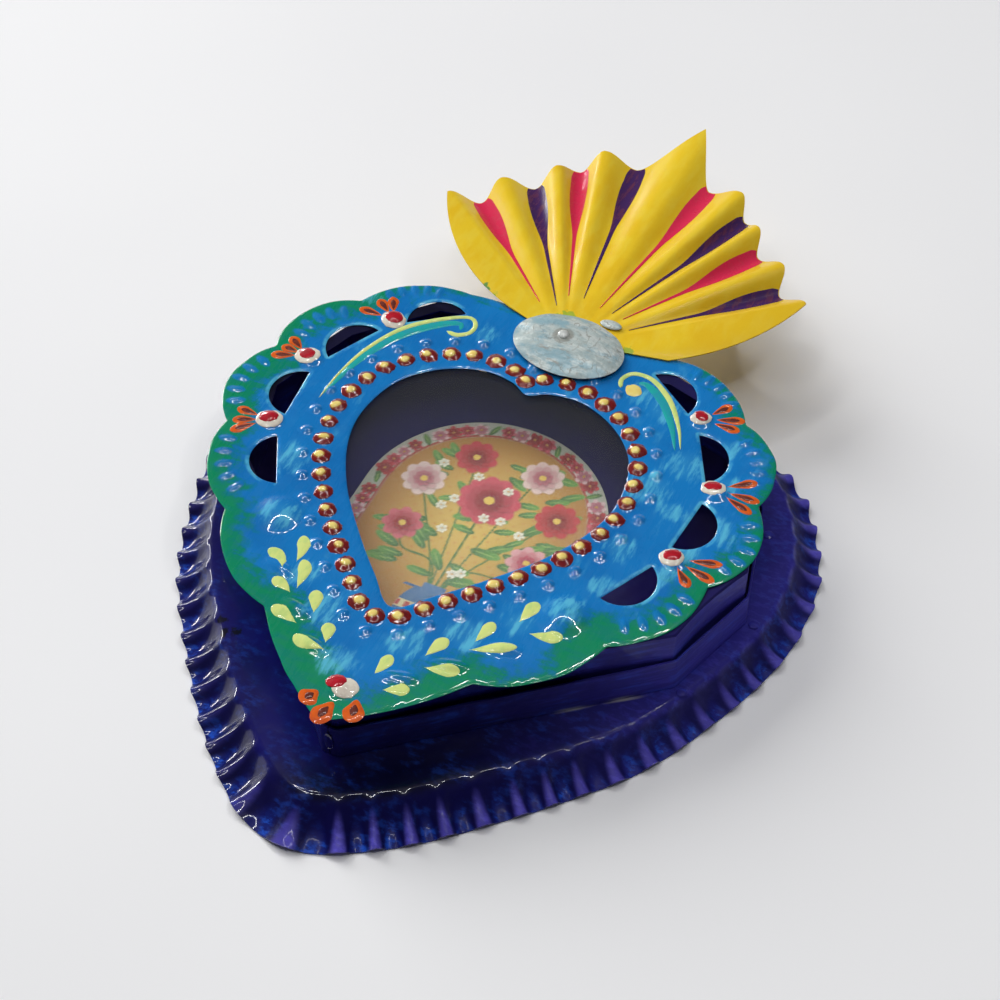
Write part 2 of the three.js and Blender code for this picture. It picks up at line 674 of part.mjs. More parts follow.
// Hinge on the wall's left facet.
const hinge = {
  length: 24,
  pinRadius: 0.7,
  bore: 0.78,
  barrel: 1.35,
  barrelSides: 14,
  jointGap: 0.4, // between knuckles
  boxLeaf: 8, // how far the box leaf reaches down the wall
  aboveWall: 0.6, // axis above the wall's top edge
  lidLeafRoom: 2.9, // lid leaf's top edge under the flange
  pinEnd: 1, // pin beyond the knuckles
  pinBend: 1.6,
};
const lidLeafTop = flangeTop - hinge.lidLeafRoom;
const hingeFacet = 3; // wall corner where the hinged facet starts, mirrored to the left
const hingeFrom = v2(-wallHalf[hingeFacet].x, wallHalf[hingeFacet].y);
const hingeTo = v2(-wallHalf[hingeFacet + 1].x, wallHalf[hingeFacet + 1].y);
const hingeOut = seat + hinge.barrel; // axis, outside the wall's face
const hingeHeight = bandTop + hinge.aboveWall;
// Local axes of the hinge: x outwards from the wall, y up the box, z along the pin.
const hingeFrame = new THREE.Group();
const hingeAlong = hingeTo.clone().sub(hingeFrom).normalize();
const hingeMiddle = hingeFrom.clone().add(hingeTo).multiplyScalar(0.5);
hingeFrame.position.set(hingeMiddle.x, hingeMiddle.y, 0);
hingeFrame.setRotationFromMatrix(new THREE.Matrix4().makeBasis(
  new THREE.Vector3(-hingeAlong.y, hingeAlong.x, 0),
  new THREE.Vector3(0, 0, 1),
  new THREE.Vector3(hingeAlong.x, hingeAlong.y, 0),
));
wallFrame.add(hingeFrame);

const boreRim = 0.07; // metal left between the bore and the web that carries the lid's knuckle
const knuckle = (hinge.length - 2 * hinge.jointGap) / 3;
const knuckleStarts = [0, 1, 2].map((i) => -hinge.length / 2 + i * (knuckle + hinge.jointGap));

// Prism of a section in the hinge's x and y, from z to z + length.
function hingePrism(section, z, length) {
  const shape = new THREE.Shape(section);
  const geometry = new THREE.ExtrudeGeometry(shape, { depth: length, bevelEnabled: false });
  return geometry.translate(0, 0, z);
}
function barrelRound(radius) {
  return Array.from({ length: hinge.barrelSides }, (_, i) => {
    const angle = (2 * Math.PI * i) / hinge.barrelSides;
    return v2(hingeOut + radius * Math.cos(angle), hingeHeight + radius * Math.sin(angle));
  });
}
const rectangle = (x0, x1, y0, y1) => [v2(x0, y0), v2(x1, y0), v2(x1, y1), v2(x0, y1)];

const boreCut = () => hingePrism(barrelRound(hinge.bore), -hinge.length, 2 * hinge.length);
const knuckleOf = (i) => hingePrism(barrelRound(hinge.barrel), knuckleStarts[i], knuckle);

function boxLeafGeometry() {
  const leafFoot = bandTop - hinge.boxLeaf;
  const below = hingePrism(
    rectangle(seat, seat + sheet, leafFoot, hingeHeight - hinge.barrel - seat),
    -hinge.length / 2,
    hinge.length,
  );
  const necks = [0, 2].map((i) => hingePrism(
    rectangle(seat, seat + sheet, leafFoot, hingeHeight),
    knuckleStarts[i],
    knuckle,
  ));
  return cutAway(join([below, ...necks, knuckleOf(0), knuckleOf(2)]), [boreCut()]);
}
function lidLeafGeometry() {
  const face = -rimInset + seat; // the leaf's back, just clear of the lid rim
  const webLow = hingeHeight + hinge.bore + boreRim;
  const webHigh = hingeHeight + hinge.barrel;
  const strip = hingePrism(
    rectangle(face, face + sheet, webLow, lidLeafTop),
    -hinge.length / 2,
    hinge.length,
  );
  const web = hingePrism(rectangle(face, hingeOut, webLow, webHigh), knuckleStarts[1], knuckle);
  return cutAway(join([strip, web, knuckleOf(1)]), [boreCut()]);
}
addPiece(hingeFrame, 'hinge_box_leaf', boxLeafGeometry(), ultramarine());
addPiece(hingeFrame, 'hinge_lid_leaf', lidLeafGeometry(), ultramarine());

// The pin is a wire with one end bent over.
function pinGeometry() {
  const end = hinge.length / 2 + hinge.pinEnd;
  const bend = hinge.pinBend;
  const path = new THREE.CurvePath();
  const low = new THREE.Vector3(hingeOut, hingeHeight, -end);
  const corner = new THREE.Vector3(hingeOut, hingeHeight, end + bend);
  path.add(new THREE.LineCurve3(low, new THREE.Vector3(hingeOut, hingeHeight, end)));
  path.add(new THREE.QuadraticBezierCurve3(
    new THREE.Vector3(hingeOut, hingeHeight, end),
    corner,
    new THREE.Vector3(hingeOut + bend, hingeHeight, end + bend),
  ));
  const round = new THREE.Shape();
  round.absarc(0, 0, hinge.pinRadius, 0, 2 * Math.PI, false);
  return new THREE.ExtrudeGeometry(round, {
    extrudePath: path,
    steps: 24,
    curveSegments: 5,
    bevelEnabled: false,
  });
}
addPiece(hingeFrame, 'hinge_pin', pinGeometry(), bareTin());

// Solder.
const v3 = (x, y, z) => new THREE.Vector3(x, y, z);
const bluntTip = wallHalf[0].y;
const wallCleft = wallHalf[wallHalf.length - 1].y;
const seamMiddle = bandFoot + bandHeight / 2;
const seamLump = { halfWide: 1.5, halfTall: 3.6, height: 0.9 };
const lidLump = { halfWide: 1, halfTall: 3, height: 0.7 };
const flameLump = { along: 7, gap: 0.8, rise: 0.25, halfLong: 3.6, halfShort: 1.9, height: 1.3 };
// The flame's lump lies beside the oval boss, a little to the right of its middle.
const bossEdge = ovalBoss.halfShort * Math.sqrt(1 - (flameLump.along / ovalBoss.halfLong) ** 2);
const flameLumpAt = v2(flameLump.along, bossEdge + flameLump.gap + flameLump.halfShort)
  .rotateAround(v2(0, 0), ovalBoss.turn)
  .add(ovalBoss.centre);
const cleftRise = 0.4; // the cleft's flanks stand this much proud beside its lump
addPiece(
  wallFrame,
  'tip_solder',
  solderLump(
    v3(0, bluntTip - seat, seamMiddle),
    v3(0, -1, 0),
    [seamLump.halfWide, seamLump.halfTall],
    seamLump.height,
  ),
  ultramarine(),
);
addPiece(
  wallFrame,
  'cleft_solder',
  solderLump(
    v3(0, wallCleft + seat + cleftRise, seamMiddle),
    v3(0, 1, 0),
    [seamLump.halfWide, seamLump.halfTall],
    seamLump.height,
  ),
  ultramarine(),
);
addPiece(
  wallFrame,
  'lid_tip_solder',
  solderLump(
    v3(0, bluntTip + rimInset + sheet + seat, (bandTop + flangeTop) / 2),
    v3(0, 1, 0),
    [lidLump.halfWide, lidLump.halfTall],
    lidLump.height,
  ),
  solder(),
);
addPiece(
  shrine,
  'flame_solder',
  solderLump(
    v3(flameLumpAt.x, flameLumpAt.y, flameMiddle + sheet / 2 + seat + flameLump.rise),
    v3(0, 0, 1),
    [flameLump.halfLong, flameLump.halfShort],
    flameLump.height,
  ),
  silverPaint(),
);

// Tacks that hold the wall to the floor, beside its outer foot at the corners.
const tack = { half: 1.6, height: 0.9 };
wallHalf.slice(2, 6).forEach((p, i) => {
  for (const [side, x] of [['right', p.x], ['left', -p.x]]) {
    const corner = v2(x, p.y);
    const spot = corner.clone().addScaledVector(corner.clone().normalize(), tack.half + sheet + seat);
    addPiece(
      wallFrame,
      `foot_tack_${side}_${i + 1}`,
      solderLump(v3(spot.x, spot.y, floorTop + seat), v3(0, 0, 1), [tack.half, tack.half], tack.height),
      ultramarine(),
    );
  }
});

// Beads that hold the hinge's leaves, on their faces near both ends.
const leafTack = { half: 1.4, height: 0.7, inset: 2.2 };
for (const [i, side] of [-1, 1].entries()) {
  const along = (side * hinge.length) / 3;
  const size = [leafTack.half, leafTack.half];
  addPiece(
    hingeFrame,
    `box_leaf_tack_${i + 1}`,
    solderLump(
      v3(seat + sheet + seat, bandTop - hinge.boxLeaf + leafTack.inset, along),
      v3(1, 0, 0),
      size,
      leafTack.height,
    ),
    ultramarine(),
  );
  addPiece(
    hingeFrame,
    `lid_leaf_tack_${i + 1}`,
    solderLump(
      v3(-rimInset + seat + sheet + seat, lidLeafTop - leafTack.inset, along),
      v3(1, 0, 0),
      size,
      leafTack.height,
    ),
    ultramarine(),
  );
}

// Origin at the middle of the foot.
shrine.updateMatrixWorld(true);
const bounds = new THREE.Box3().setFromObject(shrine, true);
const middle = bounds.getCenter(new THREE.Vector3());
shrine.position.set(-middle.x, -middle.y, -bounds.min.z);
shrine.updateMatrixWorld(true);

export default shrine;
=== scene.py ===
# %% [markdown]
# # A painted tin shrine box
# The object is a small folk-art box cut from tinplate, painted by hand and laid on its back on a
# white table. A heart-shaped tray with a fluted skirt carries a low wall, and a pierced and
# embossed lid with a glass window and a pleated flame swings on it. The CAD solids give every
# place and the motion. Here each piece gets its real curves, its thick brushed enamel and its wear.

# %% Load the solids
import json
import math
import random

import bmesh
import bpy
import numpy as np
from mathutils import Matrix, Vector, noise
from mathutils.geometry import delaunay_2d_cdt
from mathutils.kdtree import KDTree

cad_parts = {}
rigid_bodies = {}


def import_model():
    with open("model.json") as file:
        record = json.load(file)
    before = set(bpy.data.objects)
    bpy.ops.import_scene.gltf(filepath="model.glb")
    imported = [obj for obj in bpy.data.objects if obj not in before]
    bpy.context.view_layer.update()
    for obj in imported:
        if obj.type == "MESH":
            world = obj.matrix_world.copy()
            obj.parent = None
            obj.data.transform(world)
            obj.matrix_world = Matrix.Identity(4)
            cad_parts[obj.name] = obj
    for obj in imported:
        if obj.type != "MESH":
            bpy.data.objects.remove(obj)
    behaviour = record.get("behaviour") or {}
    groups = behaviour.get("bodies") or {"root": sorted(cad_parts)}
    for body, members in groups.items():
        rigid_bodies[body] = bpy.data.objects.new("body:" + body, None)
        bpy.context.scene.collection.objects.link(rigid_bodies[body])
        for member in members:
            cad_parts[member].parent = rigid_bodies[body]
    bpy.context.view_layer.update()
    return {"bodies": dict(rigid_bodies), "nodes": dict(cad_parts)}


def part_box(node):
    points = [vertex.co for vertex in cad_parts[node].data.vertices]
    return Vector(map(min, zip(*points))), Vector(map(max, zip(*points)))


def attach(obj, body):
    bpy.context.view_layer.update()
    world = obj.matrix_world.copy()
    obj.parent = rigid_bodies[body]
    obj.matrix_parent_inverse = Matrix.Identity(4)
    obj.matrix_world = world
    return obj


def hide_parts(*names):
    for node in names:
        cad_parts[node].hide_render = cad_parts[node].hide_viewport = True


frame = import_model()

MM = 0.001
print("nodes:", len(frame["nodes"]), "bodies:", list(frame["bodies"]))

# %% [markdown]
# ## Two sets of axes
# The lid is measured from the middle of its plate. The tray and the wall were soldered a little
# askew under it, so they have axes of their own: turned clockwise, and moved to one side. All
# shapes are first worked out in millimetres in these axes, and one helper then moves them into the
# frame. The glass pane is centred on the plate, so its box tells where the plate's origin lies.

# %% Axes of the lid, the tray and the wall
pane_low, pane_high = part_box("glass_pane")
PANE_MIDDLE_Y = 5.0
ORIGIN = np.array([
    (pane_low.x + pane_high.x) / 2,
    (pane_low.y + pane_high.y) / 2 - PANE_MIDDLE_Y * MM,
    0.0,
])
TRAY_TURN = math.radians(-3.3)
TRAY_PIVOT = -10.0
PIVOT_UNDER_LID = (1.6, -10.0)
WALL_SHIFT = 1.4
SHEET = 0.5
SEAT = 0.3
FLOOR_TOP = 9.0
PLATE_TOP = 31.0
PLATE_UNDER = PLATE_TOP - SHEET
BAND_FOOT = FLOOR_TOP + SEAT
BAND_TOP = BAND_FOOT + 11.5
FLANGE_TOP = PLATE_UNDER - SEAT


def to_frame(points):
    """Millimetres in the lid's axes to metres in the frame."""
    return np.asarray(points, float) * MM + ORIGIN


def frame_mm(x, y, z):
    """Millimetres in the shared frame of a place in the lid's axes."""
    return tuple(to_frame([(x, y, z)])[0] * 1000)


def tray_to_lid(points):
    """Millimetres in the tray's own axes to the lid's axes."""
    p = np.array(points, float)
    c, s = math.cos(TRAY_TURN), math.sin(TRAY_TURN)
    x, y = p[:, 0].copy(), p[:, 1] - TRAY_PIVOT
    p[:, 0] = PIVOT_UNDER_LID[0] + c * x - s * y
    p[:, 1] = PIVOT_UNDER_LID[1] + s * x + c * y
    return p


def wall_to_lid(points):
    """Millimetres in the wall's own axes to the lid's axes."""
    return tray_to_lid(np.asarray(points, float) + (WALL_SHIFT, 0, 0))


print("origin of the lid's axes in the frame (mm):", np.round(ORIGIN * 1000, 2))

# %% [markdown]
# ## Small helpers for meshes
# A finished piece is a plain mesh with its place in its vertices, its object at the origin and its
# faces outwards. One helper links such a mesh, one turns live modifiers into plain faces, and one
# hands the piece to the frame: which body it rides on, which finish it takes, what it stands for.

# %% Mesh helpers
def link_object(name, data):
    """A new object with this data, in the scene."""
    obj = bpy.data.objects.new(name, data)
    bpy.context.scene.collection.objects.link(obj)
    return obj


def new_object(name, points, faces, attributes=None):
    """An object from points in millimetres of the lid's axes, with point attributes."""
    mesh = bpy.data.meshes.new(name)
    mesh.from_pydata(to_frame(points).tolist(), [], [list(map(int, f)) for f in faces])
    for key, values in (attributes or {}).items():
        values = np.asarray(values, np.float32)
        if values.ndim == 2:
            layer = mesh.attributes.new(key, "FLOAT_VECTOR", "POINT")
            layer.data.foreach_set("vector", values.ravel())
        else:
            layer = mesh.attributes.new(key, "FLOAT", "POINT")
            layer.data.foreach_set("value", values)
    return link_object(name, mesh)


def bake(obj):
    """Turn the modifiers' result into a plain mesh."""
    bpy.context.view_layer.update()
    graph = bpy.context.evaluated_depsgraph_get()
    mesh = bpy.data.meshes.new_from_object(obj.evaluated_get(graph))
    old = obj.data
    obj.modifiers.clear()
    obj.data = mesh
    mesh.name = obj.name
    bpy.data.meshes.remove(old)
    return obj


def solidify(obj, thickness, inner=None, outer=None):
    """Give a sheet its thickness in millimetres; its inner face may take another paint."""
    modifier = obj.modifiers.new("thickness", "SOLIDIFY")
    if inner:
        obj.data.materials.append(outer)
        obj.data.materials.append(inner)
        modifier.material_offset = 1
    modifier.thickness = thickness * MM
    modifier.offset = -1.0
    modifier.use_even_offset = False
    return bake(obj)


def face_out(obj):
    """Merge doubles and turn every face outwards on a closed mesh."""
    mesh = bmesh.new()
    mesh.from_mesh(obj.data)
    bmesh.ops.remove_doubles(mesh, verts=mesh.verts, dist=1e-7)
    bmesh.ops.recalc_face_normals(mesh, faces=mesh.faces)
    mesh.to_mesh(obj.data)
    mesh.free()
    return obj


def finish(obj, material, body, replaces=(), smooth=35):
    """Smooth the mesh up to an angle, give it its material, and hand it to the frame."""
    obj.data.polygons.foreach_set("use_smooth", [True] * len(obj.data.polygons))
    obj.data.set_sharp_from_angle(angle=math.radians(smooth))
    if not (obj.data.materials and obj.data.materials[0] == material):
        obj.data.materials.clear()
        obj.data.materials.append(material)
    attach(obj, body)
    if replaces:
        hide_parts(*replaces)
    print(f"{obj.name}: {len(obj.data.polygons)} faces on {body}")
    return obj


def grid_faces(rows, columns, wrap=False):
    """Quads of a grid whose points are stored row by row."""
    faces = []
    for r in range(rows - 1):
        row, above = r * columns, (r + 1) * columns
        for c in range(columns if wrap else columns - 1):
            d = (c + 1) % columns
            faces.append((row + c, row + d, above + d, above + c))
    return faces


def closed_tube(rings, around, inwards=False):
    """Faces of a closed tube whose rings of points are stored one after the other."""
    faces = grid_faces(rings, around, wrap=True)
    if inwards:
        faces = [f[::-1] for f in faces]
    last = rings * around - 1
    return faces + [tuple(range(around)), tuple(range(last, last - around, -1))]


def turned(x, y, angle):
    """Offsets seen along axes that are turned by an angle."""
    c, s = math.cos(angle), math.sin(angle)
    return x * c + y * s, -x * s + y * c


# %% [markdown]
# ## Small helpers for nodes
# Shaders and Geometry Nodes are built in code, so that every value has a name. What a node puts out
# is held as a value that can be added and multiplied like a number, and each input of the next node
# takes such a value or a plain one.

# %% Node helpers
class Value:
    """What a node puts out; it can be added, taken away and multiplied like a number."""

    def __init__(self, socket):
        self.socket = socket
        self.tree = socket.id_data

    def __getitem__(self, axis):
        """One axis of a vector: X, Y or Z."""
        return result(self.tree, "ShaderNodeSeparateXYZ", {0: self}, axis)

    __add__ = lambda self, other: calc("ADD", self, other)
    __radd__ = lambda self, other: calc("ADD", other, self)
    __sub__ = lambda self, other: calc("SUBTRACT", self, other)
    __rsub__ = lambda self, other: calc("SUBTRACT", other, self)
    __mul__ = lambda self, other: calc("MULTIPLY", self, other)
    __rmul__ = lambda self, other: calc("MULTIPLY", other, self)


def set_input(socket, value):
    """Link a node's value to a socket, or set a plain one; a colour is opaque."""
    if isinstance(value, Value):
        value.tree.links.new(value.socket, socket)
    else:
        socket.default_value = (*value, 1) if socket.type == "RGBA" else value


def node(tree, kind, inputs=None, **settings):
    """A node with its settings and its inputs."""
    made = tree.nodes.new(kind)
    for key, value in settings.items():
        setattr(made, key, value)
    for key, value in (inputs or {}).items():
        set_input(made.inputs[key], value)
    return made


def result(tree, kind, inputs=None, output=0, **settings):
    """The value that a new node puts out."""
    return Value(node(tree, kind, inputs, **settings).outputs[output])


def calc(operation, *values, kind="ShaderNodeMath", output=0, **settings):
    """The result of a Math node."""
    tree = next(value.tree for value in values if isinstance(value, Value))
    return result(tree, kind, dict(enumerate(values)), output, operation=operation, **settings)


def vector_calc(operation, *values, output=0):
    """The result of a Vector Math node."""
    return calc(operation, *values, kind="ShaderNodeVectorMath", output=output)


def scaled(vector, factor):
    """A vector made longer or shorter."""
    inputs = {0: vector, "Scale": factor}
    return result(vector.tree, "ShaderNodeVectorMath", inputs, operation="SCALE")


def highest(a, b):
    return calc("MAXIMUM", a, b)


def mix_colour(factor, a, b):
    """The colour between a and b."""
    inputs = {0: factor, 6: a, 7: b}
    return result(factor.tree, "ShaderNodeMix", inputs, 2, data_type="RGBA", clamp_factor=True)


def ramp(value, low, high, to_low=0.0, to_high=1.0):
    """The value between low and high, smoothed and spread from to_low to to_high."""
    inputs = {
        "Value": value, "From Min": low, "From Max": high, "To Min": to_low, "To Max": to_high}
    return result(value.tree, "ShaderNodeMapRange", inputs, interpolation_type="SMOOTHSTEP")


def noise_of(vector, scale, detail=4.0, roughness=0.55):
    """Noise from about 0.2 to 0.8, scale in cycles per millimetre."""
    inputs = {"Vector": vector, "Scale": scale, "Detail": detail, "Roughness": roughness}
    return result(vector.tree, "ShaderNodeTexNoise", inputs, "Fac")


def new_group(kind, name, inputs, output):
    """A node group with inputs, as name: (type, default), and one output.

    Returns the group, its inputs as values, and their identifiers."""
    group = bpy.data.node_groups.new(name, kind)
    identifiers = {}
    for key, (socket_kind, default) in inputs.items():
        socket = group.interface.new_socket(
            name=key, in_out="INPUT", socket_type=f"NodeSocket{socket_kind}")
        if default is not None:
            socket.default_value = default
        identifiers[key] = socket.identifier
    group.interface.new_socket(name=output, in_out="OUTPUT", socket_type=(
        "NodeSocketGeometry" if output == "Geometry" else "NodeSocketFloat"))
    given = {socket.name: Value(socket) for socket in group.nodes.new("NodeGroupInput").outputs}
    return group, given, identifiers


def end_group(value):
    """Link a value to its group's output."""
    set_input(value.tree.nodes.new("NodeGroupOutput").inputs[0], value)


# %% [markdown]
# ## Effects that several paints share
# Brushed enamel shows three things wherever it lies: streaks of thicker and thinner colour, a
# surface that is never quite flat, and small chips. Each is a node group that is built once, with
# inputs for its size, and a fourth makes ragged spots. They all take their place in millimetres, so
# one helper scales the object's coordinates first.

# %% Shared shader groups
VECTOR = {"Vector": ("Vector", None)}
streak_group, given, _ = new_group("ShaderNodeTree", "Brush Streaks", {
    **VECTOR, "Scale": ("Float", 0.3), "Stretch": ("Vector", (1, 4, 1)), "Low": ("Float", 0.45),
    "High": ("Float", 0.6)}, "Mask")
stretched = vector_calc("MULTIPLY", given["Vector"], given["Stretch"])
streak_noise = noise_of(stretched, given["Scale"], detail=7.0, roughness=0.62)
end_group(ramp(streak_noise, given["Low"], given["High"]))

relief_group, given, _ = new_group("ShaderNodeTree", "Enamel Relief", {
    **VECTOR, "Wave": ("Float", 0.18), "Bristle": ("Float", 1.6), "Bristle Share": ("Float", 0.12),
}, "Height")
wave = noise_of(given["Vector"], given["Wave"], detail=2.0)
bristle = noise_of(
    vector_calc("MULTIPLY", given["Vector"], (1, 0.25, 1)), given["Bristle"], detail=3.0)
end_group(wave + bristle * given["Bristle Share"])

chip_group, given, _ = new_group("ShaderNodeTree", "Chips", {
    **VECTOR, "Scale": ("Float", 0.5), "Amount": ("Float", 0.1)}, "Mask")
chip_noise = noise_of(given["Vector"], given["Scale"], detail=8.0, roughness=0.7)
chip_limit = 0.78 - given["Amount"]
end_group(ramp(chip_noise, chip_limit, chip_limit + 0.02))

spot_group, given, _ = new_group("ShaderNodeTree", "Paint Spot", {
    **VECTOR, "Centre": ("Vector", None), "Radius": ("Float", 4.0), "Ragged": ("Float", 3.0),
}, "Mask")
spot_distance = vector_calc("DISTANCE", given["Vector"], given["Centre"], output="Value")
spot_noise = (noise_of(given["Vector"], 0.7, detail=6.0) - 0.5) * given["Ragged"]
end_group(ramp(given["Radius"] - (spot_distance + spot_noise), -0.4, 0.6))
print("shared groups:", [g.name for g in bpy.data.node_groups])


def use_group(group, **values):
    """Place a shared group; keywords name its inputs, with _ for a space."""
    made = node(values["Vector"].tree, "ShaderNodeGroup", node_tree=group)
    for key, value in values.items():
        set_input(made.inputs[key.replace("_", " ")], value)
    return Value(made.outputs[0])


def streaks(mm, scale, stretch, low, high):
    """Mask of brush streaks, stretch squeezing them along an axis."""
    return use_group(streak_group, Vector=mm, Scale=scale, Stretch=stretch, Low=low, High=high)


def spot(mm, centre, radius, ragged):
    """Mask of a ragged round spot."""
    return use_group(spot_group, Vector=mm, Centre=centre, Radius=radius, Ragged=ragged)


def chips_of(mm, scale, amount):
    return use_group(chip_group, Vector=mm, Scale=scale, Amount=amount)


def point_value(mm, name, output="Fac"):
    """What the mesh's points carry under a name."""
    return result(mm.tree, "ShaderNodeAttribute", None, output, attribute_name=name)


def new_material(name, **constants):
    """A material, its Principled shader and its place in millimetres."""
    material = bpy.data.materials.new(name)
    material.use_nodes = True
    shader = material.node_tree.nodes["Principled BSDF"]
    wire(shader, **constants)
    place = result(material.node_tree, "ShaderNodeTexCoord", None, "Object")
    return material, shader, vector_calc("MULTIPLY", place, (1000, 1000, 1000))


def wire(shader, **values):
    """Set or link the shader's inputs; keywords name them, with _ for a space."""
    for key, value in values.items():
        set_input(shader.inputs[key.replace("_", " ")], value)


def relief(shader, mm, distance, wave, bristle, share):
    """Bump the shader with the enamel relief, distance in millimetres."""
    height = use_group(relief_group, Vector=mm, Wave=wave, Bristle=bristle, Bristle_Share=share)
    inputs = {"Height": height, "Distance": distance * MM, "Strength": 1.0}
    wire(shader, Normal=result(mm.tree, "ShaderNodeBump", inputs, "Normal"))


# %% [markdown]
# ## The ultramarine enamel
# Tray, wall, lid rim and hinge were painted with one pot of dark ultramarine. It is nearly black
# where it lies thick and glossy, cobalt in the hollow pads of the skirt where the brush left it
# thin, and violet and duller on the right, where it dried matt. Painted light is mixed in too:
# painted shade turns it navy in front of the wall, under the lid's overhang, on the pads' upper
# halves and on the floor inside the wall; the pads' cobalt is partly a painted highlight, and the
# ridges get a painted violet highlight. So the colour is mixed from a cloudy mask, brush streaks
# whose direction each piece chooses, and the place along the box; the same mask of the matt side
# also takes the clear coat away.

# %% Ultramarine enamel
NAVY = (0.0014, 0.0012, 0.022)
ULTRAMARINE = (0.0048, 0.0035, 0.118)
COBALT = (0.012, 0.075, 0.50)
VIOLET = (0.042, 0.036, 0.34)
# Painted highlight of the skirt's ridges.
RIDGE_HIGHLIGHT_VIOLET = (0.095, 0.080, 0.50)
CHIPPED = (0.30, 0.29, 0.30)
# Painted shade of the box's inside: a dark navy, which also darkens the marks on the deck, and the
# floor's colour.
SHADE_AND_MARK_NAVY = (0.0022, 0.0018, 0.012)
INSIDE_FLOOR_SHADE = (0.013, 0.008, 0.085)
# Scratches down to the tin at the wall's foot, and dark marks on the left of the deck.
SCRATCHES = [(51.6, -33.3), (62.2, -24.9)]
DARK_MARKS = [(-48.9, -46.4), (-43.2, -48.5), (-46, -50)]
SCRATCH_ANGLE = math.radians(38)
SCRATCH_TURN = Matrix((
    (0.1 * math.cos(SCRATCH_ANGLE), 0.1 * math.sin(SCRATCH_ANGLE), 0),
    (-math.sin(SCRATCH_ANGLE), math.cos(SCRATCH_ANGLE), 0), (0, 0, 0.5)))


def along_line(mm):
    """Coordinates squeezed along the scratches, so that a round spot becomes a long one."""
    parts = [vector_calc("DOT_PRODUCT", mm, tuple(row), output="Value") for row in SCRATCH_TURN]
    return result(mm.tree, "ShaderNodeCombineXYZ", dict(zip("XYZ", parts)))


def ultramarine_enamel(name, brush, pads=False, chips=0.02):
    """Dark enamel; brush stretches its streaks, and pads paints the tray's flutes: cobalt hollows
    that are partly a painted highlight, painted shade beside the ridges and a painted highlight on
    them, and painted shade on the floor inside.
    """
    material, shader, mm = new_material(
        name, Metallic=0.0, Coat_Roughness=0.05, Coat_IOR=1.6, Specular_IOR_Level=0.15)
    clouds = streaks(mm, 0.035, (1, 1, 1), low=0.36, high=0.62)
    brushed = streaks(mm, 0.55, brush, low=0.42, high=0.66)
    patches = streaks(mm, 0.11, (1, 1, 1), low=0.44, high=0.62)
    x = mm["X"]
    matt = ramp(x, 15.0, 85.0) * ramp(clouds, 0.0, 1.0, 0.7, 1.0)
    # Painted shade: in front of the wall, under the lid's overhang, the navy takes over.
    thick = ramp(mm["Y"] + x * -0.9, -95.0, -125.0)
    dusty = matt * ramp(brushed, 0.0, 1.0, 0.65, 1.0)
    thin_paint_and_highlight = patches * brushed * 0.3
    coat = ramp(matt, 0.0, 0.8, 0.8, 0.12)
    if pads:
        on_skirt = ramp(point_value(mm, "flute_share"), 0.02, 0.2)
        thick = thick * (1.0 - on_skirt * 0.75)
        dusty = dusty * (1.0 - on_skirt * 0.5)
        # The lower halves of the pads turn cobalt: partly paint left thin by the brush, partly a
        # painted highlight on the flutes.
        low = ramp(point_value(mm, "pad"), 0.55, 0.9)
        hollow = low * ramp(patches, 0.0, 0.7, 0.35, 1.0)
        thin_paint_and_highlight = highest(thin_paint_and_highlight, hollow * ramp(brushed, 0.0, 0.8, 0.15, 1.0))
        # On the skirt only the left flank still shines.
        coat = coat * (1.0 - on_skirt * ramp(x, -22.0, 4.0) * 0.85)
    colour = mix_colour(highest(thick, ramp(clouds, 0.0, 1.0, 0.35, 0.0)), ULTRAMARINE, NAVY)
    colour = mix_colour(dusty, colour, VIOLET)
    if pads:
        # Painted shade on the upper halves of the pads, beside the ridges.
        colour = mix_colour(on_skirt * (1.0 - low) * 0.55, colour, NAVY)
    colour = mix_colour(thin_paint_and_highlight, colour, COBALT)
    if pads:
        # Painted highlight: the skirt's ridges turn violet, more towards the front and right.
        ridge_highlight = ramp(point_value(mm, "ridge"), 0.4, 0.85) * ramp(brushed, 0.0, 1.0, 0.7, 1.0)
        colour = mix_colour(ridge_highlight * ramp(x, -35.0, 5.0, 0.15, 1.0), colour, RIDGE_HIGHLIGHT_VIOLET)
        # Painted shade on the floor inside the wall, where little light reaches.
        colour = mix_colour(point_value(mm, "inside"), colour, INSIDE_FLOOR_SHADE)
    chip = chips_of(mm, 0.35, chips)
    for middle in SCRATCHES:
        centre = tuple(SCRATCH_TURN @ Vector(frame_mm(*middle, FLOOR_TOP)))
        chip = highest(chip, spot(along_line(mm), centre, 0.35, 1.3))
    colour = mix_colour(chip, colour, CHIPPED)
    for middle in DARK_MARKS:
        colour = mix_colour(spot(mm, frame_mm(*middle, FLOOR_TOP), 1.3, 5.0), colour, SHADE_AND_MARK_NAVY)
    wire(shader, Base_Color=colour, Roughness=ramp(matt, 0.0, 1.0, 0.34, 0.5), Coat_Weight=coat)
    relief(shader, mm, distance=0.3, wave=0.14, bristle=1.1, share=0.12)
    return material


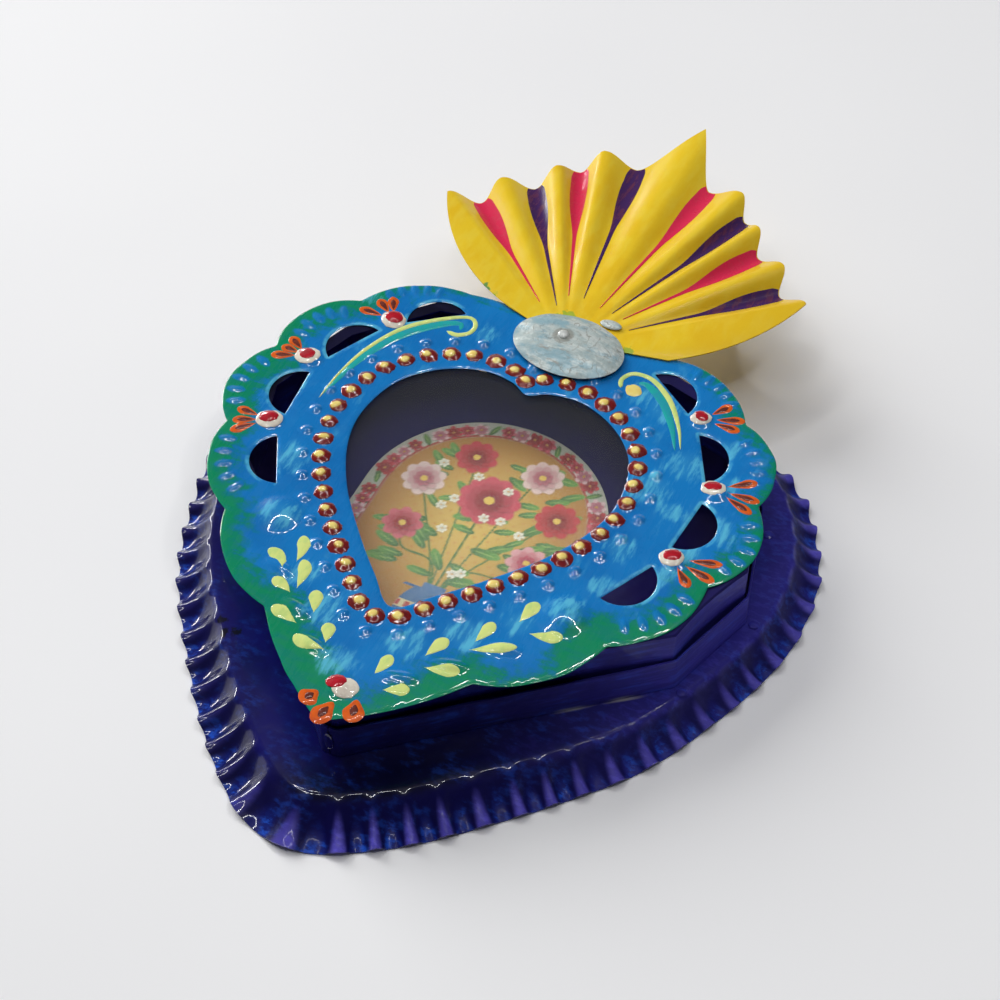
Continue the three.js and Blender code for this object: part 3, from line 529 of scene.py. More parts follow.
def inside_shade_paint():
    """Painted shade: the dark coat of the inner faces stands for the little light that reaches
    inside the box.
    """
    material, shader, mm = new_material(
        "inside_enamel", Metallic=0.0, Coat_Weight=0.2, Specular_IOR_Level=0.15)
    brushed = streaks(mm, 0.5, (0.12, 0.12, 1.3), low=0.42, high=0.66)
    colour = mix_colour(brushed, SHADE_AND_MARK_NAVY, (0.005, 0.004, 0.030))
    colour = mix_colour(ramp(mm["X"], 10.0, 50.0), colour, (0.012, 0.009, 0.085))
    wire(shader, Base_Color=colour, Roughness=ramp(brushed, 0.0, 1.0, 0.35, 0.5))
    relief(shader, mm, distance=0.3, wave=0.14, bristle=1.1, share=0.12)
    return material


tray_enamel = ultramarine_enamel("tray_enamel", brush=(0.5, 1.0, 1.0), pads=True)
wall_enamel = ultramarine_enamel("wall_enamel", brush=(0.12, 0.12, 1.3))
inside_enamel = inside_shade_paint()

# %% [markdown]
# ## The tray
# The tray is one sheet: a heart-shaped floor, a crease, and a skirt that was crimped into flutes
# when it was turned down: narrow ridges with hollow pads between them, growing towards the rim.
# That is a rule, so the smooth skirt is made first, each point knowing how far along the rim and
# how far down it lies, and a Geometry Nodes tree lifts the ridges. The skirt spreads more at the
# tip.

# %% Smooth heart curves
def mirrored(half):
    """Close half an outline, from the tip up to the cleft, with its mirror image."""
    return list(half) + [(-x, y) for x, y in list(half)[-2:0:-1]]


def smooth_loop(points, count):
    """A closed centripetal curve through the points, cut into equal lengths, anticlockwise."""
    p = np.array(points, float)
    n = len(p)
    dense = []
    for i in range(n):
        p0, p1, p2, p3 = p[i - 1], p[i], p[(i + 1) % n], p[(i + 2) % n]
        t = [0.0]
        for a, b in ((p0, p1), (p1, p2), (p2, p3)):
            t.append(t[-1] + math.sqrt(np.linalg.norm(b - a)))
        for u in np.linspace(t[1], t[2], 60, endpoint=False):
            a1 = (t[1] - u) / (t[1] - t[0]) * p0 + (u - t[0]) / (t[1] - t[0]) * p1
            a2 = (t[2] - u) / (t[2] - t[1]) * p1 + (u - t[1]) / (t[2] - t[1]) * p2
            a3 = (t[3] - u) / (t[3] - t[2]) * p2 + (u - t[2]) / (t[3] - t[2]) * p3
            b1 = (t[2] - u) / (t[2] - t[0]) * a1 + (u - t[0]) / (t[2] - t[0]) * a2
            b2 = (t[3] - u) / (t[3] - t[1]) * a2 + (u - t[1]) / (t[3] - t[1]) * a3
            dense.append((t[2] - u) / (t[2] - t[1]) * b1 + (u - t[1]) / (t[2] - t[1]) * b2)
    return even_loop(dense, count)


def even_loop(points, count):
    """The same closed line, cut into count equal lengths."""
    p = np.array(points, float)
    closed = np.vstack([p, p[:1]])
    length = np.concatenate([[0], np.cumsum(np.linalg.norm(np.diff(closed, axis=0), axis=1))])
    stations = np.linspace(0, length[-1], count, endpoint=False)
    return np.column_stack([np.interp(stations, length, closed[:, i]) for i in (0, 1)])


def loop_normals(loop):
    """Outward unit normals of an anticlockwise loop."""
    onward = np.roll(loop, -1, axis=0) - np.roll(loop, 1, axis=0)
    out = np.column_stack([onward[:, 1], -onward[:, 0]])
    return out / np.linalg.norm(out, axis=1, keepdims=True)


CREASE_HALF = [
    (0, -87.2), (18.3, -78.3), (44.3, -54.2), (66.6, -27.8), (80.2, 4), (84, 27),
    (80.4, 49), (66, 71), (44, 81), (22, 81.5), (0, 76),
]
# The wall's outer face on the tray's floor, from the blunt tip to the cleft.
WALL_HALF = [
    (0, -73.5), (2.4, -73.5), (70.2, -11.6), (78, 17.8), (68.8, 49), (49, 72.8), (28, 78),
    (0, 70.5),
]
FLUTES = 58
STEPS_PER_FLUTE = 14
SIDE_FLARE = 8.3
TIP_FLARE = 12.4
LOBE_FLARE = 7.0
FLARE_FROM = -10.0
FLARE_TO = 40.0
FLUTE_LIFT = 2.7
FLUTE_REACH = 1.0
FLUTE_RISE = 0.6
FLUTE_CRISPNESS = 1.5
SKIRT_EDGE = 0.62
crease = smooth_loop(mirrored(CREASE_HALF), FLUTES * STEPS_PER_FLUTE)
crease_out = loop_normals(crease)
print("crease:", len(crease), "points")

# %% Skirt and floor as one sheet
# Rings over the crease: distance outside it, and how far down. Then shares of the flare.
CREASE_RINGS = [(-2.5, 0.0), (-1.0, 0.0), (-0.35, 0.06), (0.1, 0.35)]
SKIRT_SHARES = [0.06, 0.13, 0.22, 0.32, 0.42, 0.52, 0.62, 0.72, 0.82, 0.91, 1.0]
SKIRT_STEEPNESS = 1.88


def flare_of(points):
    """How far the skirt spreads at points of the crease: more at the tip, less over the lobes."""
    y = points[:, 1]
    to_tip = np.clip((FLARE_FROM - y) / (FLARE_FROM - y.min()), 0, 1)
    to_lobe = np.clip((y - FLARE_TO) / (y.max() - FLARE_TO), 0, 1)
    return SIDE_FLARE + to_tip * (TIP_FLARE - SIDE_FLARE) + to_lobe * (LOBE_FLARE - SIDE_FLARE)


def hand_noise(points, scale, layer):
    """Smooth noise from -1 to 1 at plan points, for what a hand makes uneven."""
    return np.array([noise.noise(Vector((x * scale, y * scale, layer))) for x, y in points])


def tray_sheet():
    drop = FLOOR_TOP - SKIRT_EDGE
    flare = flare_of(crease)
    phase = np.arange(len(crease)) / STEPS_PER_FLUTE + 0.22 * hand_noise(crease, 0.04, 5.0)
    wobble = hand_noise(crease, 0.05, 3.0)
    ridge = (0.5 + 0.5 * np.cos(2 * math.pi * phase)) ** FLUTE_CRISPNESS
    rings = [(np.full(len(crease), out), down, 0.0) for out, down in CREASE_RINGS]
    rings += [(s * flare, drop * (1 - (1 - s) ** SKIRT_STEEPNESS), s) for s in SKIRT_SHARES]
    points = []
    for out, down, s in rings:
        ring = crease + crease_out * (out + 0.3 * wobble * (out > -5))[:, None]
        points.append(np.column_stack([ring, np.full(len(ring), FLOOR_TOP - down)]))
    shares = np.array([s for _, _, s in rings])[:, None]
    faces = [f[::-1] for f in grid_faces(len(rings), len(crease), wrap=True)]
    # The floor: the innermost ring, and two loops where the wall's inner face will stand.
    wall_loop = even_loop(mirrored(WALL_HALF), 240) + (WALL_SHIFT, 0)
    loops = [wall_loop - loop_normals(wall_loop) * d for d in (0.1, 1.2)]
    flat = np.concatenate([points[0][:, :2], *loops])
    count = len(crease)
    floor = delaunay_2d_cdt([Vector(p) for p in flat.tolist()], [], [list(range(count))], 1, 1e-6)
    start = sum(len(p) for p in points)
    point_of = [i if i < count else start + i - count for i in range(len(flat))]
    faces += [tuple(point_of[floor[3][v][0]] for v in f) for f in floor[2]]
    points += [np.column_stack([loop, np.full(len(loop), FLOOR_TOP)]) for loop in loops]
    extra = sum(len(loop) for loop in loops)
    # The inner loop is marked, so that the floor inside the wall takes painted shade.
    inside = np.concatenate([np.zeros(start + len(loops[0])), np.ones(len(loops[1]))])

    def padded_with_zeros(values):
        return np.concatenate([values, np.zeros((extra, *values.shape[1:]))])

    attributes = {
        "flute_phase": padded_with_zeros(np.tile(phase, len(rings))),
        "flute_share": padded_with_zeros(np.repeat(shares.ravel(), count)),
        "pad": padded_with_zeros((np.sqrt(shares) * (1 - ridge)[None, :]).ravel()),
        "ridge": padded_with_zeros((np.sqrt(shares) * ridge[None, :]).ravel()),
        "outward": padded_with_zeros(
            np.tile(np.column_stack([crease_out, np.zeros(count)]), (len(rings), 1))),
        "inside": inside,
    }
    return np.concatenate(points), faces, attributes


tray_points, tray_faces, tray_attributes = tray_sheet()
outward = tray_attributes["outward"]
outward[:, :2] = (tray_to_lid(outward) - tray_to_lid(np.zeros((1, 3))))[:, :2]
tray = new_object("fluted_tray", tray_to_lid(tray_points), tray_faces, tray_attributes)
print("smooth tray:", len(tray_points), "points")

# %% The flute tree
def attribute_in(tree, name, kind="FLOAT"):
    """What a Geometry Nodes tree finds on its points under a name."""
    return result(
        tree, "GeometryNodeInputNamedAttribute", {"Name": name}, "Attribute", data_type=kind)


def end_tree(tree, given, geometry):
    """Make what a Geometry Nodes tree built real, give it its material and put it out."""
    whole = result(tree, "GeometryNodeRealizeInstances", {"Geometry": geometry})
    end_group(result(
        tree, "GeometryNodeSetMaterial", {"Geometry": whole, "Material": given["Material"]}))


def run_tree(obj, tree, identifiers, values):
    """Run a tree on an object with these inputs, and keep the result as its mesh."""
    modifier = obj.modifiers.new("tree", "NODES")
    modifier.node_group = tree
    for key, value in values.items():
        modifier[identifiers[key]] = value
    return bake(obj)


GEOMETRY = {"Geometry": ("Geometry", None)}
PAINT = {"Material": ("Material", None)}
FLUTE_INPUTS = {
    "Lift": FLUTE_LIFT * MM, "Reach": FLUTE_REACH * MM, "Rise": FLUTE_RISE,
    "Crispness": FLUTE_CRISPNESS, "Unevenness": 0.35,
}
flute_tree, given, flute_sockets = new_group("GeometryNodeTree", "Crimp Into Flutes", {
    **GEOMETRY, **{key: ("Float", value) for key, value in FLUTE_INPUTS.items()}, **PAINT,
}, "Geometry")
wave = calc("COSINE", attribute_in(flute_tree, "flute_phase") * (2 * math.pi))
wave = calc("ADD", 0.5, wave * 0.5, use_clamp=True)
share = attribute_in(flute_tree, "flute_share")
ridge = calc("POWER", wave, given["Crispness"]) * calc("POWER", share, given["Rise"])
uneven = result(flute_tree, "ShaderNodeTexNoise", {"Scale": 90.0, "Detail": 2.0}, "Fac")
ridge = ridge * (1.0 + (uneven - 0.62) * (given["Unevenness"] * 2.0))
outwards = scaled(attribute_in(flute_tree, "outward", "FLOAT_VECTOR"), ridge * given["Reach"])
upwards = result(flute_tree, "ShaderNodeCombineXYZ", {"Z": ridge * given["Lift"]})
end_tree(flute_tree, given, result(flute_tree, "GeometryNodeSetPosition", {
    "Geometry": given["Geometry"], "Offset": vector_calc("ADD", outwards, upwards)}))

run_tree(tray, flute_tree, flute_sockets, {**FLUTE_INPUTS, "Material": tray_enamel})
solidify(tray, SHEET)
finish(tray, tray_enamel, "box", ["base_tray"], smooth=50)

# %% [markdown]
# ## The wall and the lid's rim
# Each is bent from two strips that meet at the tip and at the cleft. The bends are tight but not
# sharp, and hand-bent tin is never flat, so the strips are swept with rounded corners and a soft
# wander. The lid's rim stands inside the wall, and its front panels have sprung inwards, which
# opens the black gap that the wall shows.

# %% Paths of the strips
LID_FIT = 0.75
RIM_INSET = SHEET + LID_FIT
PANEL_BOW = 1.1
FLANGE_WIDTH = 4.0
SEAM_HALF = 0.15


def rim_half():
    """The wall's half path, with the two front panels bowed inwards."""
    half = [np.array(p, float) for p in WALL_HALF]
    path = []
    for i, p in enumerate(half):
        path.append(p)
        if i in (1, 2):
            along = half[i + 1] - p
            right = np.array([along[1], -along[0]]) / np.linalg.norm(along)
            for t in np.linspace(0.06, 0.94, 12):
                path.append(p + along * t - right * PANEL_BOW * 4 * t * (1 - t))
    return np.array(path)


def inset_path(path, inset):
    """An open path moved inwards, its ends kept on the seam."""
    p = np.array(path, float)
    before = np.vstack([[-p[1, 0], p[1, 1]], p[:-1]])
    after = np.vstack([p[1:], [-p[-2, 0], p[-2, 1]]])
    a = (p - before) / np.linalg.norm(p - before, axis=1, keepdims=True)
    b = (after - p) / np.linalg.norm(after - p, axis=1, keepdims=True)
    na, nb = np.column_stack([a[:, 1], -a[:, 0]]), np.column_stack([b[:, 1], -b[:, 0]])
    mitre = na + nb
    mitre /= np.linalg.norm(mitre, axis=1, keepdims=True)
    return p - mitre * (inset / (mitre * na).sum(1))[:, None]


def rounded(path, radius=1.0, step=2.5):
    """An open path with its corners rounded and its straights cut into short steps."""
    p = np.array(path, float)
    out = [p[0]]
    for i in range(1, len(p) - 1):
        a, b = p[i - 1] - p[i], p[i + 1] - p[i]
        la, lb = np.linalg.norm(a), np.linalg.norm(b)
        cut = min(radius, la * 0.4, lb * 0.4)
        start, end = p[i] + a / la * cut, p[i] + b / lb * cut
        for t in np.linspace(0, 1, 5):
            out.append((1 - t) ** 2 * start + 2 * t * (1 - t) * p[i] + t * t * end)
    out.append(p[-1])
    dense = [out[0]]
    for a, b in zip(out, out[1:]):
        pieces = max(1, int(np.linalg.norm(b - a) // step))
        dense += [a + (b - a) * (k + 1) / pieces for k in range(pieces)]
    return np.array(dense)


def strip(path, heights, wander=0.25, seed=0.0):
    """A standing strip along a path in the wall's axes: points row by row, and its faces."""
    p = np.array(path, float)
    onward = np.gradient(p, axis=0)
    out = np.column_stack([onward[:, 1], -onward[:, 0]])
    out /= np.linalg.norm(out, axis=1, keepdims=True)
    points = []
    for z in heights:
        push = np.array([
            wander * noise.noise(Vector((x * 0.06 + seed, y * 0.06, z * 0.12))) for x, y in p])
        points.append(np.column_stack([p + out * push[:, None], np.full(len(p), z)]))
    return np.concatenate(points), grid_faces(len(heights), len(p))


def mirror_strip(points, faces):
    """The left-hand twin of a strip."""
    return np.asarray(points) * (-1, 1, 1), [f[::-1] for f in faces]


def seam_ends(path):
    """Pull the ends of a half path clear of the seam in the middle."""
    p = np.array(path, float)
    p[0, 0] = p[-1, 0] = SEAM_HALF
    return p


# %% Wall bands
band_path = rounded(seam_ends(WALL_HALF))
band = strip(band_path, np.linspace(BAND_FOOT, BAND_TOP, 7), wander=0.3)
for side, (points, faces) in (("right", band), ("left", mirror_strip(*band))):
    piece = new_object(f"wall_strip_{side}", wall_to_lid(points), faces)
    # The inner faces take the painted shade of the box's inside.
    solidify(piece, SHEET, inner=inside_enamel, outer=wall_enamel)
    finish(piece, wall_enamel, "box", [f"wall_band_{side}"])

# %% Lid rims with their flanges
RIM_TOP = FLANGE_TOP - 0.25
# Rows of the flange: share of its width, and height.
FLANGE_ROWS = [
    (0.0, RIM_TOP), (0.125, FLANGE_TOP + 0.2), (0.5, FLANGE_TOP + 0.1), (1.0, FLANGE_TOP - 0.05)]
rim_path = rounded(seam_ends(inset_path(rim_half(), RIM_INSET)), step=3.0)
rim_skirt = strip(rim_path, np.linspace(BAND_FOOT, RIM_TOP, 9), wander=0.2, seed=7.0)


def flange_strip():
    """The rim's flat flange, from the bend inwards, mitred at the corners."""
    path = rim_half()[2:]
    points = []
    for share, z in FLANGE_ROWS:
        row = inset_path(path, RIM_INSET + FLANGE_WIDTH * share)
        row[-1, 0] = SEAM_HALF
        points.append(np.column_stack([row, np.full(len(row), z)]))
    return np.concatenate(points), grid_faces(len(FLANGE_ROWS), len(path))


def combine(*meshes):
    """Several (points, faces) as one."""
    points, faces, start = [], [], 0
    for p, f in meshes:
        points.append(np.asarray(p, float))
        faces += [tuple(v + start for v in face) for face in f]
        start += len(p)
    return np.concatenate(points), faces


rim = combine(rim_skirt, flange_strip())
for side, (points, faces) in (("right", rim), ("left", mirror_strip(*rim))):
    piece = new_object(f"rim_strip_{side}", wall_to_lid(points), faces)
    solidify(piece, SHEET, inner=inside_enamel, outer=wall_enamel)
    # The flange's flat faces under the plate take painted shade; the upright faces keep the enamel.
    for face in piece.data.polygons:
        face.material_index = 1 if abs(face.normal.z) > 0.6 else 0
    finish(piece, wall_enamel, "lid", [f"lid_rim_{side}"])

# %% [markdown]
# ## The lid plate
# The plate was cut with scallops, pierced with half-moons and a heart, and embossed from behind.
# It is one sheet here too. Its outlines and a fine net of points inside them are triangulated
# together, with rings of points round every bump, and each point is then raised by the bumps near
# it. A bump rises from a hollow foot to a round top, as punched tin does, and so catches the light
# in rings. The cut edges are rolled over slightly under their thick paint.

# %% Outlines of the plate
def arc_points(a, b, sagitta, steps):
    """Points from a towards b, b left out, on the arc that bulges to the right of a-b."""
    a, b = np.array(a, float), np.array(b, float)
    chord = b - a
    half = np.linalg.norm(chord) / 2
    radius = (half * half + sagitta * sagitta) / (2 * sagitta)
    right = np.array([chord[1], -chord[0]]) / (2 * half)
    centre = (a + b) / 2 + right * (sagitta - radius)
    start = math.atan2(*(a - centre)[::-1])
    sweep = 2 * math.asin(min(1, half / radius))
    if sagitta > half:
        sweep = 2 * math.pi - sweep
    angles = start + sweep * np.arange(steps) / steps
    return [tuple(centre + radius * np.array([math.cos(t), math.sin(t)])) for t in angles]


SCALLOPS = [
    ((0, -78.8), 2.2), ((30.5, -51.9), 5.2), ((57, -26.3), 5.4), ((73.5, 3.3), 6.9),
    ((75.6, 36), 6.6), ((61.8, 64), 5.3), ((33, 80.3), 1.4),
]
PLATE_CLEFT = (0, 79)
scallop_ends = [start for start, _ in SCALLOPS[1:]] + [PLATE_CLEFT]
plate_half = []
for (start, bulge_by), end in zip(SCALLOPS, scallop_ends):
    plate_half += arc_points(start, end, bulge_by, 30)
plate_half.append(PLATE_CLEFT)
plate_outline = even_loop(mirrored(plate_half), 720)
hand = hand_noise(plate_outline, 0.12, 9.0)
plate_outline = plate_outline + loop_normals(plate_outline) * (0.35 * hand)[:, None]

HALF_MOONS = [
    ((45, 61.2), (30.5, 71.8), 7.1), ((59.3, 38.3), (51, 54.6), 7.5),
    ((59.6, 12.5), (61.3, 30.5), 8.2), ((49, -12), (57.3, 4), 7.8),
]
moon_outlines = []
for low, high, bulge_by in HALF_MOONS:
    outline = even_loop(arc_points(low, high, bulge_by, 40) + [high], 72)
    moon_outlines += [outline, outline[::-1] * (-1, 1)]
WINDOW_HALF = [
    (0, -38), (9, -29.8), (20, -18), (31, -4), (38.3, 11), (40, 23), (36.4, 37.5),
    (27.5, 47.2), (15.5, 52.3), (5.5, 51.3), (0, 48.4),
]
window_outline = smooth_loop(mirrored(WINDOW_HALF), 300)
print("plate loops:", 2 + len(moon_outlines))

# %% Bumps of the plate
# Each bump: centre, half length, half width, turn, height.
def ring_of(count, offset, shift):
    fine = smooth_loop(mirrored(WINDOW_HALF), 240)
    return smooth_loop(fine + loop_normals(fine) * offset, count) + (shift, 0)


bead_places = ring_of(44, 4.8, -2.4)
fine_places = ring_of(40, 10.2, -2.4)
BOSSES = [(49.2, 60.5), (63.4, 36), (61.8, 8.6)]
TIP_BOSS = (0, -67.5)
BIG_DOME = (42.7, -21.8)
LEAF_BEADS = [(33, -38.5), (22.5, -49), (12.5, -58)]
bumps = [(x, y, 2.6, 2.6, 0, 0.8) for x, y in bead_places]
bumps += [(x, y, 1.9, 1.9, 0, 0.7) for x, y in fine_places]
bumps += [(*TIP_BOSS, 3.6, 3.6, 0, 1.0)]
for side in (1, -1):
    bumps += [(side * x, y, 3.8, 3.8, 0, 1.0) for x, y in BOSSES]
    bumps += [(side * BIG_DOME[0], BIG_DOME[1], 7.2, 7.2, 0, 1.6)]
    bumps += [(side * x, y, 5.4, 2.3, side * 0.25, 0.85) for x, y in LEAF_BEADS]

def both_sides(leaning):
    """Places with a lean, and then their mirror images."""
    return [
        (side * x, y, lean if side > 0 else math.pi - lean)
        for side in (1, -1) for x, y, lean in leaning]


dashes = []
DASHES_PER_LOBE = 6
LOBES = [
    ((54, -20), (70, 2), 4.6), ((71.5, 8), (72.5, 32), 6.2), ((70, 40), (60, 58), 5.4),
    ((56, 66), (38, 76), 4.4),
]
for start, end, bulge_by in LOBES:
    lobe = np.array(arc_points(start, end, bulge_by, DASHES_PER_LOBE))
    chord = np.array(end, float) - start
    for k, (x, y) in enumerate(lobe[1:]):
        lean = math.atan2(-chord[0], chord[1]) + 0.35 * (k - 2) / 2 * 1.2
        dashes.append((x, y, lean))
bumps += [(x, y, 2.6, 1.15, lean, 0.35) for x, y, lean in both_sides(dashes)]
bumps = np.array(bumps, float)
print("bumps:", len(bumps))


def lid_height(x, y):
    """Height of the plate's top face above the table, in millimetres."""
    x, y = np.asarray(x, float), np.asarray(y, float)
    z = np.full(x.shape, PLATE_TOP)
    for cx, cy, a, b, turn, height in bumps:
        near = (np.abs(x - cx) < a) & (np.abs(y - cy) < a)
        if near.any():
            u, v = turned(x[near] - cx, y[near] - cy, turn)
            u, v = u / a, v / b
            z[near] += height * np.clip(1 - u * u - v * v, 0, 1) ** 1.2
    return z


# %% Net of points and triangles
def inside(loops, x, y):
    """Whether points lie inside the first loop and outside the others."""
    crossed = np.zeros(len(x), int)
    for loop in loops:
        for (x0, y0), (x1, y1) in zip(loop, np.roll(loop, -1, axis=0)):
            if y0 != y1:
                crossed += ((y0 > y) != (y1 > y)) & (x < (x1 - x0) * (y - y0) / (y1 - y0) + x0)
    return crossed % 2 == 1


def gap_to(loops, points):
    """Distance from points of the plan to the nearest point of the loops."""
    targets = np.concatenate(loops)
    tree = KDTree(len(targets))
    for i, (x, y) in enumerate(targets):
        tree.insert((x, y, 0), i)
    tree.balance()
    return np.array([tree.find((x, y, 0))[2] for x, y in points])


HIGH_BUMP = 0.4
HIGH_SIDES, HIGH_SHARES = 22, (0.14, 0.28, 0.42, 0.56, 0.7, 0.83, 0.93, 1.0)
LOW_SIDES, LOW_SHARES = 14, (0.2, 0.42, 0.62, 0.82, 1.0)


def net_points(spacing=1.5):
    """A staggered net over the plate and rings round the bumps, clear of the edges."""
    rows = []
    for j, y in enumerate(np.arange(-80, 86, spacing * 0.87)):
        xs = np.arange(-84 + (j % 2) * spacing / 2, 84, spacing)
        rows.append(np.column_stack([xs, np.full(len(xs), y)]))
    net = np.concatenate(rows)
    crowded = np.zeros(len(net), bool)
    rings = []
    for cx, cy, a, b, turn, height in bumps:
        u, v = turned(net[:, 0] - cx, net[:, 1] - cy, turn)
        crowded |= (u / (a + 0.2)) ** 2 + (v / (b + 0.2)) ** 2 < 1
        sides, shares = (HIGH_SIDES, HIGH_SHARES) if height > HIGH_BUMP else (LOW_SIDES, LOW_SHARES)
        for k, share in enumerate(shares):
            t = 2 * math.pi * (np.arange(sides) + 0.5 * (k % 2)) / sides
            u, v = a * share * np.cos(t), b * share * np.sin(t)
            rings.append(np.column_stack([
                cx + u * math.cos(turn) - v * math.sin(turn),
                cy + u * math.sin(turn) + v * math.cos(turn)]))
        rings.append([[cx, cy]])
    return np.concatenate([net[~crowded], *rings])


EDGE_CLEARANCE = 0.8
EDGE_STEPS = (0.15, 0.4)
plate_loops = [plate_outline, window_outline, *moon_outlines]
net = net_points()
net = net[inside(plate_loops, net[:, 0], net[:, 1])]
net = net[gap_to(plate_loops, net) > EDGE_CLEARANCE]
shoulders = []
for loop in plate_loops:
    outward = loop_normals(loop)
    into = -1 if loop is plate_outline else np.sign(np.dot(outward[0], loop[0] - loop.mean(0)))
    shoulders += [loop + outward * into * d for d in EDGE_STEPS]
edges, start = [], 0
for loop in plate_loops:
    edges += [(start + i, start + (i + 1) % len(loop)) for i in range(len(loop))]
    start += len(loop)
flat_points = np.concatenate([*plate_loops, *shoulders, net])
cut = delaunay_2d_cdt([Vector(p) for p in flat_points.tolist()], edges, [], 0, 1e-5)
plate_xy = np.array([v[:] for v in cut[0]])
triangles = np.array(cut[2])
middles = plate_xy[triangles].mean(axis=1)
triangles = triangles[inside(plate_loops, middles[:, 0], middles[:, 1])]
print("plate net:", len(plate_xy), "points,", len(triangles), "triangles")

# %% Raise the plate and note where its paints lie
EDGE_ROLL = 0.24
EDGE_REACH = 0.6
WAVE_HEIGHT = 0.12
DASH_PAINT_HALF = (3.4, 1.5)
# Width of the green edge band near points of the plate, in millimetres.
GREEN_BAND = [
    (-45, 78, 4), (-68, 60, 9), (-80, 22, 12), (-70, -12, 9), (-58, -28, 7), (-42, -42, 7),
    (-28, -54, 12), (-12, -68, 15), (0, -77, 13), (12, -68, 7), (26, -56, 12), (42, -44, 5),
    (54, -28, 14), (66, -12, 9), (73, 4, 9), (80, 20, 7), (78, 44, 4), (66, 60, 4), (50, 76, 5),
    (30, 79, 0), (0, 79, 0), (-28, 80, 1),
]
# Pale brush patches: centre and radius.
PALE_PATCHES = [
    (69, 22, 6), (66, 12, 4), (52, 42, 7), (46, 30, 7), (38, 60, 6), (60, 52, 5), (47, 6, 5),
    (48, -8, 4), (62, 2, 4), (-42, -23, 6), (-60, 67, 4), (-21, 66, 4), (43, -20, 6), (66, 40, 4),
    (30, 63, 5), (55, 24, 4), (-4, -60, 6), (10, -47, 6), (22, -38, 6), (-16, -46, 6),
    (-26, -38, 5), (-50, -2, 6), (33, -29, 5),
]
plate_x, plate_y = plate_xy.T
plate_z = lid_height(plate_x, plate_y)
plate_z -= EDGE_ROLL * np.clip(1 - gap_to(plate_loops, plate_xy) / EDGE_REACH, 0, 1) ** 2
plate_z += WAVE_HEIGHT * hand_noise(plate_xy, 0.05, 1.0)
weights = np.stack([
    1 / ((plate_x - gx) ** 2 + (plate_y - gy) ** 2 + 4) ** 1.5 for gx, gy, _ in GREEN_BAND])
widths = np.array([width for *_, width in GREEN_BAND])[:, None]
pale = np.zeros(len(plate_xy))
for px, py, r in PALE_PATCHES:
    pale = np.maximum(pale, np.clip(1.3 - np.hypot(plate_x - px, plate_y - py) / r, 0, 1))
dash_mask = np.zeros(len(plate_xy))
for dash_x, dash_y, lean in both_sides(dashes):
    u, v = turned(plate_x - dash_x, plate_y - dash_y, lean)
    a, b = u / DASH_PAINT_HALF[0], v / DASH_PAINT_HALF[1]
    dash_mask = np.maximum(dash_mask, np.clip(1.25 - a * a - b * b, 0, 1))
plate = new_object("embossed_plate", np.column_stack([plate_xy, plate_z]), triangles, {
    "edge_gap": gap_to([plate_outline], plate_xy), "moon_gap": gap_to(moon_outlines, plate_xy),
    "green_width": (weights * widths).sum(0) / weights.sum(0), "pale": pale, "dash": dash_mask})
solidify(plate, SHEET)

# %% [markdown]
# ## The lid's enamel
# Mid blue first, then dry patches of pale blue, a painted pale highlight along the half-moons'
# edges, and a green edge dabbed on with a nearly dry brush.
# The plate's points carry how far the edge is and how wide the green is there; noise then breaks
# the border up. In the lobes the embossed dashes stayed blue and the green lies between them.

# %% Lid enamel
MID_BLUE = (0.006, 0.20, 0.55)
DEEP_BLUE = (0.003, 0.13, 0.42)
PALE_BLUE = (0.11, 0.53, 0.74)
EDGE_GREEN = (0.001, 0.25, 0.085)
BLUE_GREEN = (0.002, 0.19, 0.19)

lid_enamel, shader, mm = new_material(
    "lid_enamel", Metallic=0.0, Coat_Weight=0.85, Coat_Roughness=0.03, Coat_IOR=1.7,
    Specular_IOR_Level=0.15)
clouds = streaks(mm, 0.045, (1, 1, 1), low=0.35, high=0.68)
strokes = streaks(mm, 0.42, (1.0, 0.22, 1.0), low=0.42, high=0.66)
cross_strokes = streaks(mm, 0.35, (0.3, 1.0, 1.0), low=0.45, high=0.62)
wash = streaks(mm, 0.10, (1.0, 0.6, 1.0), low=0.54, high=0.72)
edge_highlight_break = streaks(mm, 0.12, (1, 1, 1), low=0.42, high=0.58)
blue = mix_colour(clouds * 0.6, MID_BLUE, DEEP_BLUE)
blue = mix_colour(wash * strokes * 0.4, blue, PALE_BLUE)
pale_paint_and_highlight = ramp(point_value(mm, "pale") + strokes * 0.35, 0.35, 0.95) * (0.12 + strokes * 0.78)
# Painted highlight: a pale line along the half-moons' edges.
outline = ramp(point_value(mm, "moon_gap"), 1.5, 0.7) * edge_highlight_break
pale_paint_and_highlight = highest(pale_paint_and_highlight, outline * 0.75)
ragged = (noise_of(mm, 0.22, detail=7.0, roughness=0.65) - 0.5) * 18.0
band = point_value(mm, "green_width") - (point_value(mm, "edge_gap") + ragged)
band = band + (cross_strokes - 0.5) * 3.0
dash_keep = 1.0 - ramp(point_value(mm, "dash"), 0.25, 0.8) * 0.85
green_mask = ramp(band, -3.0, 3.2) * dash_keep
edge_blend = ramp(band, 5.5, 0.0)
green = mix_colour(highest(cross_strokes * 0.4, edge_blend), EDGE_GREEN, BLUE_GREEN)
colour = mix_colour(green_mask * 0.95, blue, green)
colour = mix_colour(pale_paint_and_highlight * 0.95, colour, PALE_BLUE)
colour = mix_colour(chips_of(mm, 0.5, 0.0), colour, CHIPPED)
wire(shader, Base_Color=colour, Roughness=ramp(strokes, 0.0, 1.0, 0.26, 0.38))
relief(shader, mm, distance=0.10, wave=0.16, bristle=0.9, share=0.16)
finish(plate, lid_enamel, "lid", ["lid_plate"], smooth=60)

